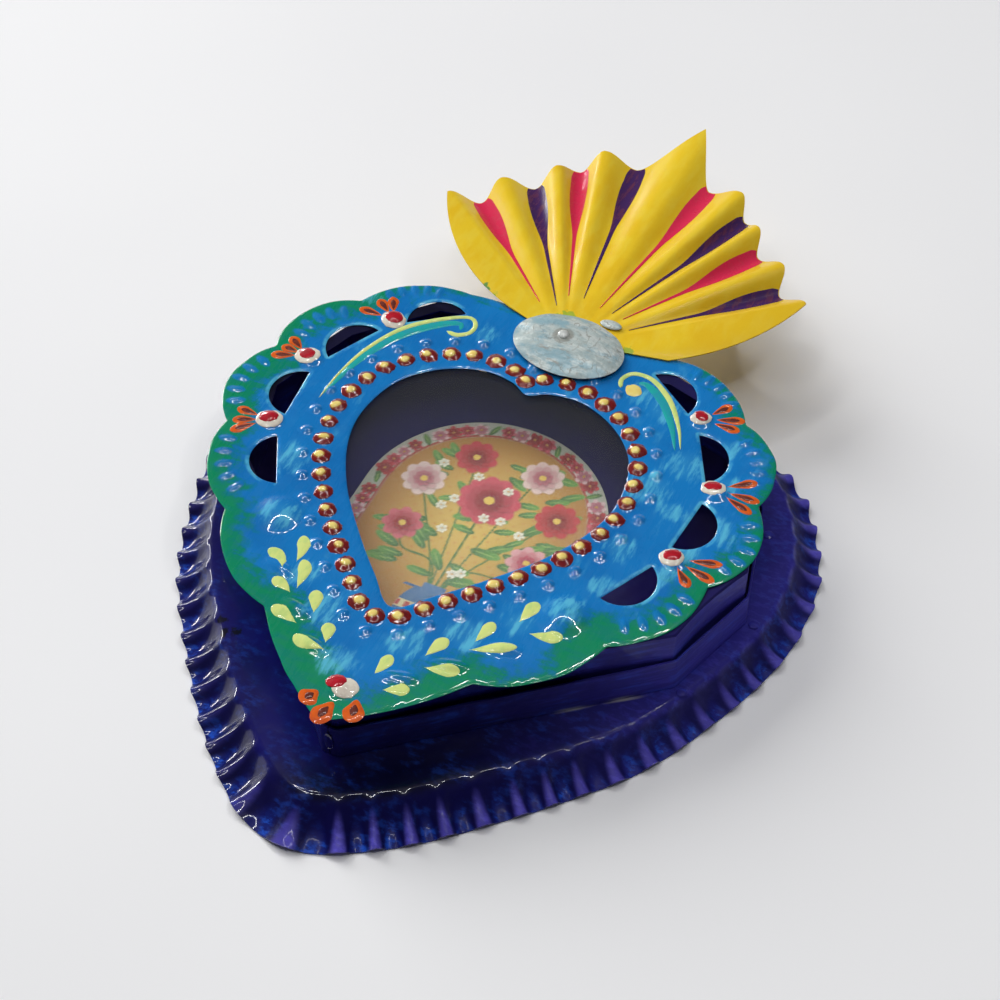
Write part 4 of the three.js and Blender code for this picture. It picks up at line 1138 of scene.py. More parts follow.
# %% [markdown]
# ## Thick paint: one finish for many colours
# Dots, petals, leaves and streaks were laid on thick, so they are raised lenses of paint with a wet
# gloss rather than colour on the plate. They share a recipe: a main colour, a second one that the
# brush dragged in, and a hard clear coat.

# %% Thick paint
def thick_paint(name, main, dragged, scale=0.35, stretch=(1, 1, 1), coat=0.8):
    material, shader, mm = new_material(
        f"{name}_paint", Metallic=0.0, Coat_Weight=coat, Coat_Roughness=0.03, Coat_IOR=1.7,
        Specular_IOR_Level=0.15)
    mask = streaks(mm, scale, stretch, low=0.45, high=0.65)
    wire(
        shader, Base_Color=mix_colour(mask * 0.6, main, dragged),
        Roughness=ramp(mask, 0.0, 1.0, 0.22, 0.36))
    relief(shader, mm, distance=0.05, wave=0.4, bristle=1.8, share=0.25)
    return material


dark_red = thick_paint("dark_red", (0.19, 0.010, 0.010), (0.10, 0.006, 0.007))
bright_red = thick_paint("bright_red", (0.46, 0.010, 0.022), (0.25, 0.007, 0.012))
straw = thick_paint("straw", (0.86, 0.70, 0.20), (0.78, 0.50, 0.10))
off_white = thick_paint("off_white", (0.80, 0.74, 0.62), (0.60, 0.50, 0.42))
orange = thick_paint("orange", (0.70, 0.115, 0.012), (0.46, 0.055, 0.012), scale=0.6, coat=0.35)
brown = thick_paint("brown", (0.12, 0.028, 0.022), (0.22, 0.04, 0.018), scale=0.6, coat=0.35)
leaf_yellow = thick_paint(
    "leaf", (0.68, 0.77, 0.24), (0.44, 0.64, 0.20), scale=0.6, stretch=(1, 0.4, 1), coat=0.3)
teal = thick_paint("teal", (0.018, 0.40, 0.38), (0.02, 0.28, 0.42), scale=0.4)
golden = thick_paint("golden", (0.42, 0.15, 0.03), (0.28, 0.06, 0.02), scale=0.8)
pink = thick_paint("pink", (0.66, 0.028, 0.085), (0.55, 0.03, 0.07), scale=0.3, coat=0.05)
purple = thick_paint(
    "purple", (0.055, 0.022, 0.105), (0.15, 0.035, 0.045), scale=0.5, stretch=(1.0, 0.25, 1.0),
    coat=0.05)

# %% [markdown]
# ## Dots
# Forty-four dark red dots sit on the beads round the window, each with a straw-coloured centre, and
# the bosses have white dots with red ones on top. All are one thin drop of paint that repeats and
# follows what lies under it. So a Geometry Nodes tree puts a ball on each point, makes its rim
# ragged, and lets every vertex fall on the plate: rays find the plate below, and the ball's own
# height becomes the paint's thickness there.

# %% The dot tree
dot_tree, given, dot_sockets = new_group("GeometryNodeTree", "Paint Dots", {
    **GEOMETRY, "Thickness": ("Float", 0.3 * MM), "Lift": ("Float", 0.0),
    "Ragged": ("Float", 0.3 * MM), "Grain": ("Float", 900.0), "Seed": ("Int", 0),
    "Plate": ("Object", None), **PAINT,
}, "Geometry")
here = result(dot_tree, "GeometryNodeInputPosition")
ball = result(
    dot_tree, "GeometryNodeMeshUVSphere", {"Segments": 22, "Rings": 14, "Radius": 1.0}, "Mesh")
marked = result(dot_tree, "GeometryNodeStoreNamedAttribute", {
    "Geometry": ball, "Name": "swell", "Value": here["Z"]}, data_type="FLOAT", domain="POINT")
turn_value = result(
    dot_tree, "FunctionNodeRandomValue", {"Seed": given["Seed"], 0: (0, 0, -0.6), 1: (0, 0, 0.6)},
    data_type="FLOAT_VECTOR")
placed = result(dot_tree, "GeometryNodeInstanceOnPoints", {
    "Points": given["Geometry"], "Instance": marked, "Rotation": turn_value,
    "Scale": attribute_in(dot_tree, "dot_size", "FLOAT_VECTOR")})
whole = result(dot_tree, "GeometryNodeRealizeInstances", {"Geometry": placed})
wander_by = result(
    dot_tree, "ShaderNodeTexNoise", {"Scale": given["Grain"], "Detail": 1.5}, "Color")
wander_by = vector_calc("MULTIPLY", vector_calc("SUBTRACT", wander_by, (0.5, 0.5, 0.5)), (2, 2, 0))
ragged_dots = result(dot_tree, "GeometryNodeSetPosition", {
    "Geometry": whole, "Offset": scaled(wander_by, given["Ragged"])})

# %% Let the dots fall on the plate
ground = result(
    dot_tree, "GeometryNodeObjectInfo", {"Object": given["Plate"]}, "Geometry",
    transform_space="ORIGINAL")
ray = node(dot_tree, "GeometryNodeRaycast", {
    "Target Geometry": ground, "Source Position": vector_calc("ADD", here, (0, 0, 6 * MM)),
    "Ray Direction": (0, 0, -1), "Ray Length": 9 * MM}).outputs
plate_level = result(dot_tree, "GeometryNodeSwitch", {
    "Switch": Value(ray["Is Hit"]), "False": (PLATE_TOP - 0.2) * MM,
    "True": Value(ray["Hit Position"])["Z"]}, input_type="FLOAT")
plate_level = result(dot_tree, "GeometryNodeBlurAttribute", {
    "Value": plate_level, "Iterations": 7}, data_type="FLOAT")
swell = attribute_in(dot_tree, "swell")
thick = highest(swell, 0.0) * given["Thickness"]
sunk = calc("MINIMUM", swell, 0.0) * (0.12 * MM)
level = (plate_level + given["Lift"]) + (thick + sunk)
fallen = result(dot_tree, "GeometryNodeSetPosition", {
    "Geometry": ragged_dots, "Position": result(
        dot_tree, "ShaderNodeCombineXYZ", {"X": here["X"], "Y": here["Y"], "Z": level})})
end_tree(dot_tree, given, fallen)


def paint_dots(name, places, sizes, material, thickness, ragged, lift=0.0, seed=0):
    """Dots at places, sizes being their half widths and half heights on the plate."""
    places, sizes = np.array(places, float), np.array(sizes, float)
    z = lid_height(places[:, 0], places[:, 1])
    scale = np.column_stack([sizes, np.full(len(sizes), 0.5)]) * MM
    obj = new_object(name, np.column_stack([places, z]), [], {"dot_size": scale})
    run_tree(obj, dot_tree, dot_sockets, {
        "Thickness": thickness * MM, "Lift": lift * MM, "Ragged": ragged * MM, "Seed": seed,
        "Plate": plate, "Material": material})
    return finish(obj, material, "lid", smooth=60)


# %% Place the dots
dice = random.Random(11)


def by_hand(middles, low, high):
    """Pairs near the middles, each number off by a little, at random."""
    return [[m + dice.uniform(a, b) for m, a, b in zip(middles, low, high)] for _ in bead_places]


red_sizes = by_hand((2.8, 2.75), (-0.3, -0.3), (0.3, 0.3))
paint_dots("bead_dots", bead_places, red_sizes, dark_red, thickness=0.28, ragged=0.75, seed=1)
centre_places = bead_places + np.array(by_hand((0, 0), (-0.75, -0.55), (0.35, 0.25)))
centre_sizes = np.array(by_hand((1.4, 1.3), (-0.2, -0.2), (0.25, 0.2)))
paint_dots(
    "bead_rings", centre_places, centre_sizes + 0.22, golden, thickness=0.14, ragged=0.35,
    lift=0.2, seed=2)
paint_dots(
    "bead_centres", centre_places, centre_sizes - 0.1, straw, thickness=0.3, ragged=0.3,
    lift=0.22, seed=2)

# Each boss: place and half size of its white dot, then of its red one.
BOSS_DOTS = [
    ((-49, 60.3), (3.9, 3.5), (-49, 60.8), (2.9, 2.4)),
    ((-65, 36), (3.9, 3.4), (-65.3, 36.4), (2.8, 2.3)),
    ((-62.5, 8.5), (4.0, 3.5), (-62.9, 8.9), (2.9, 2.4)),
    ((49.2, 60.5), (3.2, 2.6), (49.2, 60.8), (2.2, 1.8)),
    ((62, 37), (3.6, 2.9), (61.9, 37.4), (2.5, 1.9)),
    ((61, 8.7), (3.5, 3.2), (60.9, 9.2), (2.6, 2.1)),
    ((1.6, -67), (3.5, 3.3), (-1.3, -66.3), (2.7, 2.3)),
]
white_places, white_sizes, red_places, red_sizes = zip(*BOSS_DOTS)
paint_dots("boss_whites", white_places, white_sizes, off_white, thickness=0.4, ragged=0.55, seed=3)
paint_dots(
    "boss_reds", red_places, red_sizes, bright_red, thickness=0.3, ragged=0.45, lift=0.3, seed=4)

# %% [markdown]
# ## Brush strokes
# Leaves, petals, cores and scrolls are single strokes of a loaded brush: thick in the middle, thin
# at the rims, pointed where the brush lifted. One helper lays such a lens of paint along a line on
# the plate, following the bumps under it.

# %% Stroke helper
def smooth_line(points, count):
    """An open smooth line through the points, cut evenly."""
    p = np.array(points, float)
    padded_line = np.vstack([2 * p[0] - p[1], p, 2 * p[-1] - p[-2]])
    dense = []
    for i in range(1, len(p)):
        a, b, c, d = padded_line[i - 1:i + 3]
        for t in np.linspace(0, 1, 20, endpoint=False):
            dense.append(0.5 * (2 * b + (c - a) * t + (2 * a - 5 * b + 4 * c - d) * t ** 2
                                + (3 * b - a - 3 * c + d) * t ** 3))
    dense = np.array(dense + [p[-1]])
    length = np.concatenate([[0], np.cumsum(np.linalg.norm(np.diff(dense, axis=0), axis=1))])
    at = np.linspace(0, length[-1], count)
    return np.column_stack([np.interp(at, length, dense[:, i]) for i in (0, 1)])


def lens(centre_line, half_widths, height, surface, across=9):
    """A closed lens of paint along a line: points in millimetres and faces."""
    line = np.array(centre_line, float)
    onward = np.gradient(line, axis=0)
    side = np.column_stack([-onward[:, 1], onward[:, 0]])
    side /= np.maximum(np.linalg.norm(side, axis=1, keepdims=True), 1e-9)
    u = np.linspace(-1, 1, across)
    rings = []
    fullest = max(half_widths)
    for p, s, w in zip(line, side, half_widths):
        xy = p + s * (u * w)[:, None]
        ground = surface(xy[:, 0], xy[:, 1])
        thick = height * min(1.0, (w / fullest) ** 0.6)
        top = ground - 0.04 + (thick + 0.04) * np.sqrt(np.clip(1 - u * u, 0, 1))
        under = ground[-2:0:-1] - 0.08
        rings.append(np.vstack([np.column_stack([xy, top]), np.column_stack([xy[-2:0:-1], under])]))
    return np.concatenate(rings), closed_tube(len(rings), len(rings[0]), inwards=True)


def stroke(points, width, height, surface=lid_height, steps=16, nose=0.35, tail=0.12):
    """A stroke along points: round where it starts, pointed where the brush lifts."""
    t = (1 - np.cos(np.linspace(0, math.pi, steps))) / 2
    start = np.sqrt(np.clip(1 - ((nose - t) / nose) ** 2, 0, 1)) * (t < nose) + (t >= nose)
    lift = np.clip((1 - t) / (1 - nose), 0, 1) ** 0.8
    end = np.sqrt(np.clip((1 - t) / 0.2, 0, 1))
    taper = start * np.where(t < nose, 1, np.maximum(lift, tail)) * end
    half = 0.5 * width * np.maximum(taper, 0.05)
    line = smooth_line(points, 101)
    line = np.column_stack([np.interp(t, np.linspace(0, 1, 101), line[:, i]) for i in (0, 1)])
    return lens(line, half, height, surface)


def paint_strokes(name, strokes_made, material):
    points, faces = combine(*strokes_made)
    obj = face_out(new_object(name, points, faces))
    return finish(obj, material, "lid", smooth=80)


# %% Leaves and petals
# Each leaf runs from its round end to its point.
LEAVES = [
    ((-32.5, -26), (-30.5, -30.5), (-30, -35)), ((-39, -34), (-34.5, -35.5), (-32, -39)),
    ((-28.5, -33.5), (-26.5, -37), (-25.5, -43)), ((-33, -42.5), (-29.5, -43.5), (-26.5, -45)),
    ((-20.5, -41.5), (-19, -44.5), (-17.5, -48.5)), ((-28.5, -51), (-25.5, -51.8), (-20, -53.5)),
    ((-12.5, -50), (-11, -52.5), (-10, -56)), ((-18.5, -57), (-15, -58.5), (-9, -58.5)),
    ((34.8, -20.5), (34, -24), (33, -28.5)), ((45.5, -28.5), (42, -30), (37, -31)),
    ((27, -31.5), (26.5, -35), (25.2, -39.5)), ((36, -36.5), (31.5, -39), (25, -42.5)),
    ((18.5, -41.5), (17, -45), (15.5, -49)), ((26, -50), (21.5, -51.5), (17, -52.5)),
    ((7.5, -52.5), (7.2, -56), (6.2, -60)), ((16.8, -60.5), (13.5, -62), (10.5, -63.5)),
]
paint_strokes("leaves", [stroke(line, 4.2, 0.22) for line in LEAVES], leaf_yellow)


def petals_from(boss, tips, start=0.32):
    """Lines from the petals' round tips back towards their boss."""
    boss = np.array(boss, float)
    lines = []
    for tip in np.array(tips, float):
        middle = tip * 0.5 + (boss * start + tip * (1 - start)) * 0.5
        lines.append((tip, middle, boss * (1 - start) + tip * start))
    return lines


# Each boss with the round tips of its petals.
PETALS = {
    (49.2, 60.5): [(55.5, 69), (61, 65), (61, 60.5)],
    (62, 37): [(72.5, 44), (75.5, 37.5), (75, 32.5)],
    (61, 8.7): [(74.5, 12), (74.5, 5.5), (69, 1)],
    (-49, 60.5): [(-53.5, 69), (-57, 66.5), (-60.5, 60.5)],
    (-65, 36): [(-73.2, 41), (-73.8, 36.5), (-75, 32)],
    (-62.5, 8.5): [(-73, 8.8), (-72, 4), (-70.5, 0)],
}
petal_lines = [line for boss, tips in PETALS.items() for line in petals_from(boss, tips)]
tip_petals = np.array([
    ((-6.6, -75.6), (-5.6, -73.2), (-4.4, -70.6)), ((-0.6, -80.0), (0, -76.3), (0.9, -72.2)),
    ((7.6, -76.0), (7.0, -72.6), (6.0, -69.0))])
paint_strokes(
    "petals", [stroke(line, 3.5, 0.2) for line in petal_lines]
    + [stroke(line, 6.0, 0.28, nose=0.5, tail=0.5) for line in tip_petals], orange)
core_lines = [
    (b * 0.65 + a * 0.35, b * 0.7 + c * 0.3, c * 0.9 + b * 0.1) for a, b, c in petal_lines]
tip_cores = [(a * 0.78 + c * 0.22, b, c * 0.85 + a * 0.15) for a, b, c in tip_petals]
cores = [stroke(line, 2.1, 0.3) for line in core_lines]
cores += [stroke(line, 3.0, 0.4, nose=0.5) for line in tip_cores]
paint_strokes("petal_cores", cores, brown)

# %% Scrolls beside the flame
SCROLL_LEFT = [
    (-53.8, 22), (-53.2, 33), (-50.8, 45), (-45.5, 57), (-38, 65), (-29.5, 70.5), (-26, 69),
    (-25.8, 65), (-29, 62.3), (-32.5, 62.6),
]
SCROLL_RIGHT = [
    (48.3, 47), (44.5, 55), (38.5, 63.5), (31, 69.2), (25, 69.5), (22.5, 66), (23.5, 62.5),
]
TEAL_LEFT = [
    (-53.4, 24), (-51.2, 38), (-47, 50), (-41.5, 58.5), (-34.5, 65), (-30, 67), (-29, 64.5),
]
TEAL_RIGHT = [(47, 46), (42.5, 54.5), (36.5, 62.5), (30.5, 66.5), (27.5, 66.5)]


def ribbon(points, widths, height, steps=60):
    t = np.linspace(0, 1, steps)
    half = 0.5 * np.interp(t, np.linspace(0, 1, len(widths)), widths)
    half *= np.sqrt(np.clip(1 - (2 * t - 1) ** 30, 0.01, 1))
    return lens(smooth_line(points, steps), half, height, lid_height)


paint_strokes("scroll_teal", [
    ribbon(TEAL_LEFT, (0.5, 1.8, 2.6, 3.0, 3.4, 3.2, 1.4), 0.22),
    ribbon(TEAL_RIGHT, (0.4, 1.6, 2.6, 3.0, 1.6), 0.22),
], teal)
paint_strokes("scroll_outer", [
    ribbon(SCROLL_LEFT, (0.3, 0.7, 1.1, 1.5, 1.6, 1.9, 1.7, 1.4, 1.6, 2.2), 0.32),
    ribbon(SCROLL_RIGHT, (0.3, 1.0, 1.6, 1.9, 1.8, 1.6, 1.5), 0.32),
], leaf_yellow)
paint_dots("scroll_dot", [(27.3, 63)], [(2.5, 2.3)], straw, thickness=0.35, ragged=0.5, seed=5)

# %% [markdown]
# ## The flame
# The flame is a fan of tin, pleated from its root: ridges run out to its points and valleys to the
# notches between them. The flat fan is laid out by angle and share of the way out, and each point
# keeps its place in the pleats, so that a Geometry Nodes tree can raise the pleats by one height.

# %% Flat fan
FLAME_SHIFT = 2.2
FLAME_CENTRE = 76.0
PLEAT_HEIGHT = 2.2
PLEAT_START = 0.08
FLAME_MIDDLE = PLATE_TOP + SEAT + SHEET / 2
ROOT_HALF = 5.0
ROOT_FOOT = 73.5
RIDGES = [(0, 104.5), (16.4, 83.4), (27, 75.2), (41.4, 71.8), (56, 72.2)]
VALLEYS = [(8.8, 81.5), (21.6, 77), (33.3, 69.2), (48.4, 67)]
# Left and right: last angle, reach there, hollow of the last edge, and share that the points gain.
FLAME_SIDES = {-1: (82, 22, 1.0, 0.017), 1: (86, 30, 1.1, -0.017)}
FLAME_LEAN = 1.6
flame_marks = sorted(RIDGES + VALLEYS)


def flame_rim(degrees):
    """Reach of the rim, place in the pleats from 1 on a ridge to -1 in a valley, and lean."""
    angle = abs(degrees)
    last_angle, end_reach, hollow, stretch = FLAME_SIDES[-1 if degrees < 0 else 1]
    last = flame_marks[-1]
    stretched = 1 + stretch * min(1.0, angle / last[0])
    if angle >= last[0]:
        t = min(1.0, (angle - last[0]) / (last_angle - last[0]))
        reach = end_reach + (last[1] * stretched - end_reach) * (1 - t) ** hollow
        return reach, math.cos(math.pi / 2 * t), 0.0
    k = max(i for i in range(len(flame_marks) - 1) if flame_marks[i][0] <= angle)
    (a0, r0), (a1, r1) = flame_marks[k], flame_marks[k + 1]
    t = (angle - a0) / (a1 - a0)
    ease = 1 - (1 - t) ** 1.5 if k == 0 else (1 - math.cos(math.pi * t)) / 2
    lean = FLAME_LEAN * (1 - t) if k == 0 else 0.0
    pleat = (1 if k % 2 == 0 else -1) * math.cos(math.pi * t)
    return stretched * (r0 + (r1 - r0) * ease), pleat, lean


def smoothstep(low, high, x):
    t = np.clip((np.asarray(x, float) - low) / (high - low), 0, 1)
    return t * t * (3 - 2 * t)


def flame_place(degrees, share):
    """Plan point of the fan, and the rise of its pleats there, for one angle and shares."""
    reach, pleat, lean = flame_rim(degrees)
    angle = math.radians(degrees)
    foot = np.array([ROOT_HALF * degrees / FLAME_SIDES[1][0], ROOT_FOOT])
    rim_point = np.array([reach * math.sin(angle), FLAME_CENTRE + reach * math.cos(angle)])
    share = np.atleast_1d(share)[:, None]
    plan = foot * (1 - share) + rim_point * share + (FLAME_SHIFT, 0) + share * np.array([lean, 0])
    return plan, pleat


def flame_angles():
    marks = [angle for angle, _ in flame_marks]
    dense = []
    for a, b in zip(marks, marks[1:]):
        dense += list(np.linspace(a, b, 16, endpoint=False))
    left = dense + list(np.linspace(marks[-1], FLAME_SIDES[-1][0], 24))
    right = dense + list(np.linspace(marks[-1], FLAME_SIDES[1][0], 24))
    return np.array(right[::-1] + [-a for a in left[1:]])


FLAME_ROWS = 44
shares = np.linspace(0, 1, FLAME_ROWS + 1)
fan_points, fan_pleat, fan_share = [], [], []
angles = flame_angles()
for degrees in angles:
    plan, pleat = flame_place(degrees, shares)
    fan_points.append(np.column_stack([plan, np.full(len(plan), FLAME_MIDDLE + SHEET / 2)]))
    fan_pleat.append(np.full(len(plan), pleat))
    fan_share.append(shares)
fan_points = np.concatenate(fan_points)
flame = new_object(
    "pleated_flame", fan_points, grid_faces(len(angles), FLAME_ROWS + 1),
    {"pleat": np.concatenate(fan_pleat), "share": np.concatenate(fan_share)})
print("flat fan:", len(fan_points), "points")

# %% The pleat tree
pleat_tree, given, pleat_sockets = new_group("GeometryNodeTree", "Raise Pleats", {
    **GEOMETRY, "Height": ("Float", 2.2 * MM), "Start": ("Float", 0.08), **PAINT}, "Geometry")
rise = ramp(attribute_in(pleat_tree, "share"), given["Start"], 1.0)
lift = attribute_in(pleat_tree, "pleat") * rise * given["Height"]
end_tree(pleat_tree, given, result(pleat_tree, "GeometryNodeSetPosition", {
    "Geometry": given["Geometry"],
    "Offset": result(pleat_tree, "ShaderNodeCombineXYZ", {"Z": lift})}))

# %% [markdown]
# ## The flame's enamel
# A warm opaque yellow, more golden in some strokes and paler in others, with specks and chips near
# the rim. At the root the lid's green was smeared over its edge, so four ragged spots mix that in.

# %% Flame enamel
YELLOW = (0.80, 0.55, 0.022)
GOLDEN = (0.74, 0.43, 0.012)
PALE_YELLOW = (0.80, 0.64, 0.06)
SHADED_YELLOW = (0.60, 0.36, 0.012)
SPECK_BROWN = (0.20, 0.17, 0.12)
# Each smear: place, radius, colour.
SMEARS = [
    ((-30.3, 81.8), 2.7, EDGE_GREEN), ((-26.5, 80.8), 1.9, (0.16, 0.40, 0.05)),
    ((20, 75.4), 2.4, (0.25, 0.42, 0.05)), ((-2, 82), 3.2, (0.30, 0.45, 0.05)),
]
flame_enamel, shader, mm = new_material(
    "flame_enamel", Metallic=0.0, Coat_Weight=0.08, Coat_Roughness=0.12, Specular_IOR_Level=0.2)
clouds = streaks(mm, 0.05, (1, 1, 1), low=0.38, high=0.66)
strokes = streaks(mm, 0.3, (1.0, 0.3, 1.0), low=0.42, high=0.66)
colour = mix_colour(clouds * 0.5, YELLOW, GOLDEN)
colour = mix_colour(strokes * 0.35, colour, PALE_YELLOW)
# Painted shade: the yellow darkens towards the right.
colour = mix_colour(ramp(mm["X"], 8.0, 60.0) * 0.5, colour, SHADED_YELLOW)
for (x, y), radius, tint in SMEARS:
    mask = spot(mm, frame_mm(x, y, FLAME_MIDDLE + 0.5), radius, 7.0)
    colour = mix_colour(mask * 0.85, colour, tint)
colour = mix_colour(chips_of(mm, 0.55, 0.015) * 0.7, colour, SPECK_BROWN)
wire(shader, Base_Color=colour, Roughness=ramp(strokes, 0.0, 1.0, 0.32, 0.45))
relief(shader, mm, distance=0.25, wave=0.12, bristle=0.8, share=0.08)

run_tree(flame, pleat_tree, pleat_sockets, {
    "Height": PLEAT_HEIGHT * MM, "Start": PLEAT_START, "Material": flame_enamel})
solidify(flame, SHEET)
finish(flame, flame_enamel, "lid", ["flame"], smooth=70)

# %% Streaks in the valleys
STREAK_START = 0.995
STREAK_THICKNESS = 0.14


def streak(valley, seed):
    """A tapering streak from the notch towards the root, lying on the pleated sheet."""
    t = np.linspace(0, 1, 46)
    dice = random.Random(seed)
    wide = dice.uniform(2.6, 3.1)
    half = wide * (1 - smoothstep(0.12, dice.uniform(0.5, 0.6), t))
    half = half + 0.95 * (1 - t) ** 0.8 * smoothstep(0.1, 0.4, t) + 0.1
    half *= smoothstep(-0.04, 0.06, t) * 0.35 + 0.65
    end_share = dice.uniform(0.20, 0.26)
    rings = []
    for s, w in zip(STREAK_START - t * (STREAK_START - end_share), half):
        spread = np.degrees(w / (flame_rim(valley)[0] * max(s, 0.12) + 2))
        top, under = [], []
        for v in np.linspace(-1, 1, 9):
            plan, pleat = flame_place(valley + v * spread, s)
            rise = PLEAT_HEIGHT * pleat * float(smoothstep(PLEAT_START, 1, s))
            z = FLAME_MIDDLE + SHEET / 2 + rise
            top.append((*plan[0], z + 0.04 + STREAK_THICKNESS * math.sqrt(max(0, 1 - v * v))))
            under.append((*plan[0], z - 0.12))
        rings.append(np.array(top + under[-2:0:-1]))
    return np.concatenate(rings), closed_tube(len(rings), len(rings[0]))


STREAKS = [
    ("pink_streaks", (-48.4, -21.6, 8.8, 33.3), pink, 20),
    ("purple_streaks", (-33.3, -8.8, 21.6, 48.4), purple, 30),
]
for name, valleys, material, seed in STREAKS:
    made = [streak(valley, seed + i) for i, valley in enumerate(valleys)]
    paint_strokes(name, made, material)

# %% [markdown]
# ## The oval boss
# A pressed oval covers the flame's root, with a pearl in its middle. It was brushed with silver
# paint that dried in swirls: bluish where the lid shows through, brownish at the rim. A ring of
# painted shade lies round the pearl, and a painted highlight on its top.

# %% Oval boss
BOSS_CENTRE = np.array([3.4, 70.6])
BOSS_HALF = (17.2, 12.4)
BOSS_HEIGHT = 2.6
BOSS_TURN = -0.06
BOSS_FOOT = FLAME_MIDDLE + SHEET / 2 + SEAT + SHEET
# The pearl: place on the oval, radius and height.
PEARL = (-2.2, 1.0, 1.75, 1.1)


def boss_rise(share):
    """Height of the oval over its foot at a share of the way out."""
    return BOSS_HEIGHT * math.cos(math.pi / 2 * share ** 1.6)


def on_boss(x, y):
    """From the oval's own axes to the lid's."""
    across, up = turned(x, y, -BOSS_TURN)
    return BOSS_CENTRE[0] + across, BOSS_CENTRE[1] + up


def boss_sheet(columns=72, ring_count=22):
    points = []
    for r in np.linspace(1, 0.02, ring_count):
        t = 2 * math.pi * np.arange(columns) / columns
        x, y = BOSS_HALF[0] * r * np.cos(t), BOSS_HALF[1] * r * np.sin(t)
        lumps = hand_noise(zip(x, y), 0.22, 5.0)
        points.append(np.column_stack([*on_boss(x, y), BOSS_FOOT + boss_rise(r) + 0.22 * lumps]))
    last = (ring_count - 1) * columns
    faces = grid_faces(ring_count, columns, wrap=True) + [tuple(range(last, last + columns))]
    return np.concatenate(points), faces


def pearl_ball(around=28, rings=16):
    """A squat ball on the oval: points from its lowest to its highest, and faces."""
    px, py, radius, height = PEARL
    x, y = on_boss(px, py)
    foot = BOSS_FOOT + boss_rise(0.14)
    t = 2 * math.pi * np.arange(around) / around
    points = [(x, y, foot - height)]
    for rise in np.linspace(-math.pi / 2, math.pi / 2, rings + 1)[1:-1]:
        wide = radius * math.cos(rise)
        z = np.full(around, foot + height * math.sin(rise))
        points += list(zip(x + wide * np.cos(t), y + wide * np.sin(t), z))
    points.append((x, y, foot + height))
    faces = [tuple(v + 1 for v in f) for f in grid_faces(rings - 1, around, wrap=True)]
    top = len(points) - 1
    for c in range(around):
        d = (c + 1) % around
        faces += [(0, 1 + d, 1 + c), (top, top - around + c, top - around + d)]
    return points, faces


def add_pearl(obj):
    """Add the half-round pearl, sunk a little into the oval."""
    points, faces = pearl_ball()
    mesh = bmesh.new()
    mesh.from_mesh(obj.data)
    corners = [mesh.verts.new(place) for place in to_frame(points)]
    for face in faces:
        mesh.faces.new([corners[i] for i in face])
    mesh.to_mesh(obj.data)
    mesh.free()


silver, shader, mm = new_material("silver_paint", Coat_Weight=0.1, Coat_Roughness=0.2)
swirl = streaks(mm, 0.35, (0.35, 1.0, 1.0), low=0.4, high=0.62)
blue_under = streaks(mm, 0.16, (0.5, 1.0, 1.0), low=0.46, high=0.60)
rust = streaks(mm, 0.45, (0.4, 1.0, 1.0), low=0.57, high=0.66)
colour = mix_colour(swirl, (0.38, 0.46, 0.45), (0.66, 0.72, 0.69))
colour = mix_colour(blue_under * 0.6, colour, (0.15, 0.34, 0.43))
colour = mix_colour(rust * 0.45, colour, (0.26, 0.19, 0.13))
# Fine grooves run round the pearl.
pearl_at = frame_mm(BOSS_CENTRE[0] + PEARL[0], BOSS_CENTRE[1] + PEARL[1], FLAME_MIDDLE + 4.5)
from_pearl = vector_calc("DISTANCE", mm, pearl_at, output="Value")
turns = calc("FRACT", noise_of(mm, 0.16, detail=3.0) * 5.0 + 0.30 * from_pearl)
groove = ramp(calc("ABSOLUTE", turns - 0.5), 0.13, 0.02)
colour = mix_colour(groove * swirl * 0.55, colour, (0.19, 0.18, 0.14))
# Painted shade in a ring round the pearl's foot, and a painted highlight on its top.
hollow = spot(mm, pearl_at, PEARL[2] + 1.5, 2.0)
pearl_top_highlight = spot(mm, pearl_at, PEARL[2] + 0.1, 0.2)
ring = calc("SUBTRACT", hollow, pearl_top_highlight, use_clamp=True)
colour = mix_colour(ring * 0.55, colour, (0.20, 0.17, 0.13))
colour = mix_colour(pearl_top_highlight * 0.6, colour, (0.62, 0.62, 0.60))
wire(
    shader, Base_Color=colour, Metallic=ramp(swirl, 0.0, 1.0, 0.1, 0.35),
    Roughness=ramp(swirl, 0.0, 1.0, 0.55, 0.42))
relief(shader, mm, distance=0.3, wave=0.5, bristle=1.5, share=0.3)
boss = new_object("silver_oval", *boss_sheet())
solidify(boss, SHEET)
add_pearl(boss)
finish(boss, silver, "lid", ["oval_boss"], smooth=60)

# %% [markdown]
# ## Small parts that only need softer edges
# Solder lumps, tacks, clips and the hinge have the right shape already. Their solids are loose
# triangles with hard edges, so a merged copy of each gets a fine bevel or one round of smoothing,
# and stands for the solid.

# %% Bare metals
def metal(name, dark, light, roughness):
    material, shader, mm = new_material(name, Metallic=0.9)
    patches = streaks(mm, 0.5, (1, 1, 1), low=0.38, high=0.64)
    wire(
        shader, Base_Color=mix_colour(patches, dark, light),
        Roughness=ramp(patches, 0.0, 1.0, roughness, roughness + 0.15))
    relief(shader, mm, distance=0.08, wave=0.6, bristle=2.0, share=0.4)
    return material


bare_tin = metal("bare_tin", (0.34, 0.33, 0.32), (0.60, 0.60, 0.58), 0.28)
grey_solder = metal("grey_solder", (0.22, 0.22, 0.23), (0.46, 0.46, 0.46), 0.38)


def flatten(obj, direction, keep):
    """Press a mesh flat along a direction, its lowest points staying where they are."""
    direction = Vector(direction).normalized()
    heights = [v.co.dot(direction) for v in obj.data.vertices]
    lowest = min(heights)
    for vertex, height in zip(obj.data.vertices, heights):
        vertex.co -= direction * (height - lowest) * (1 - keep)


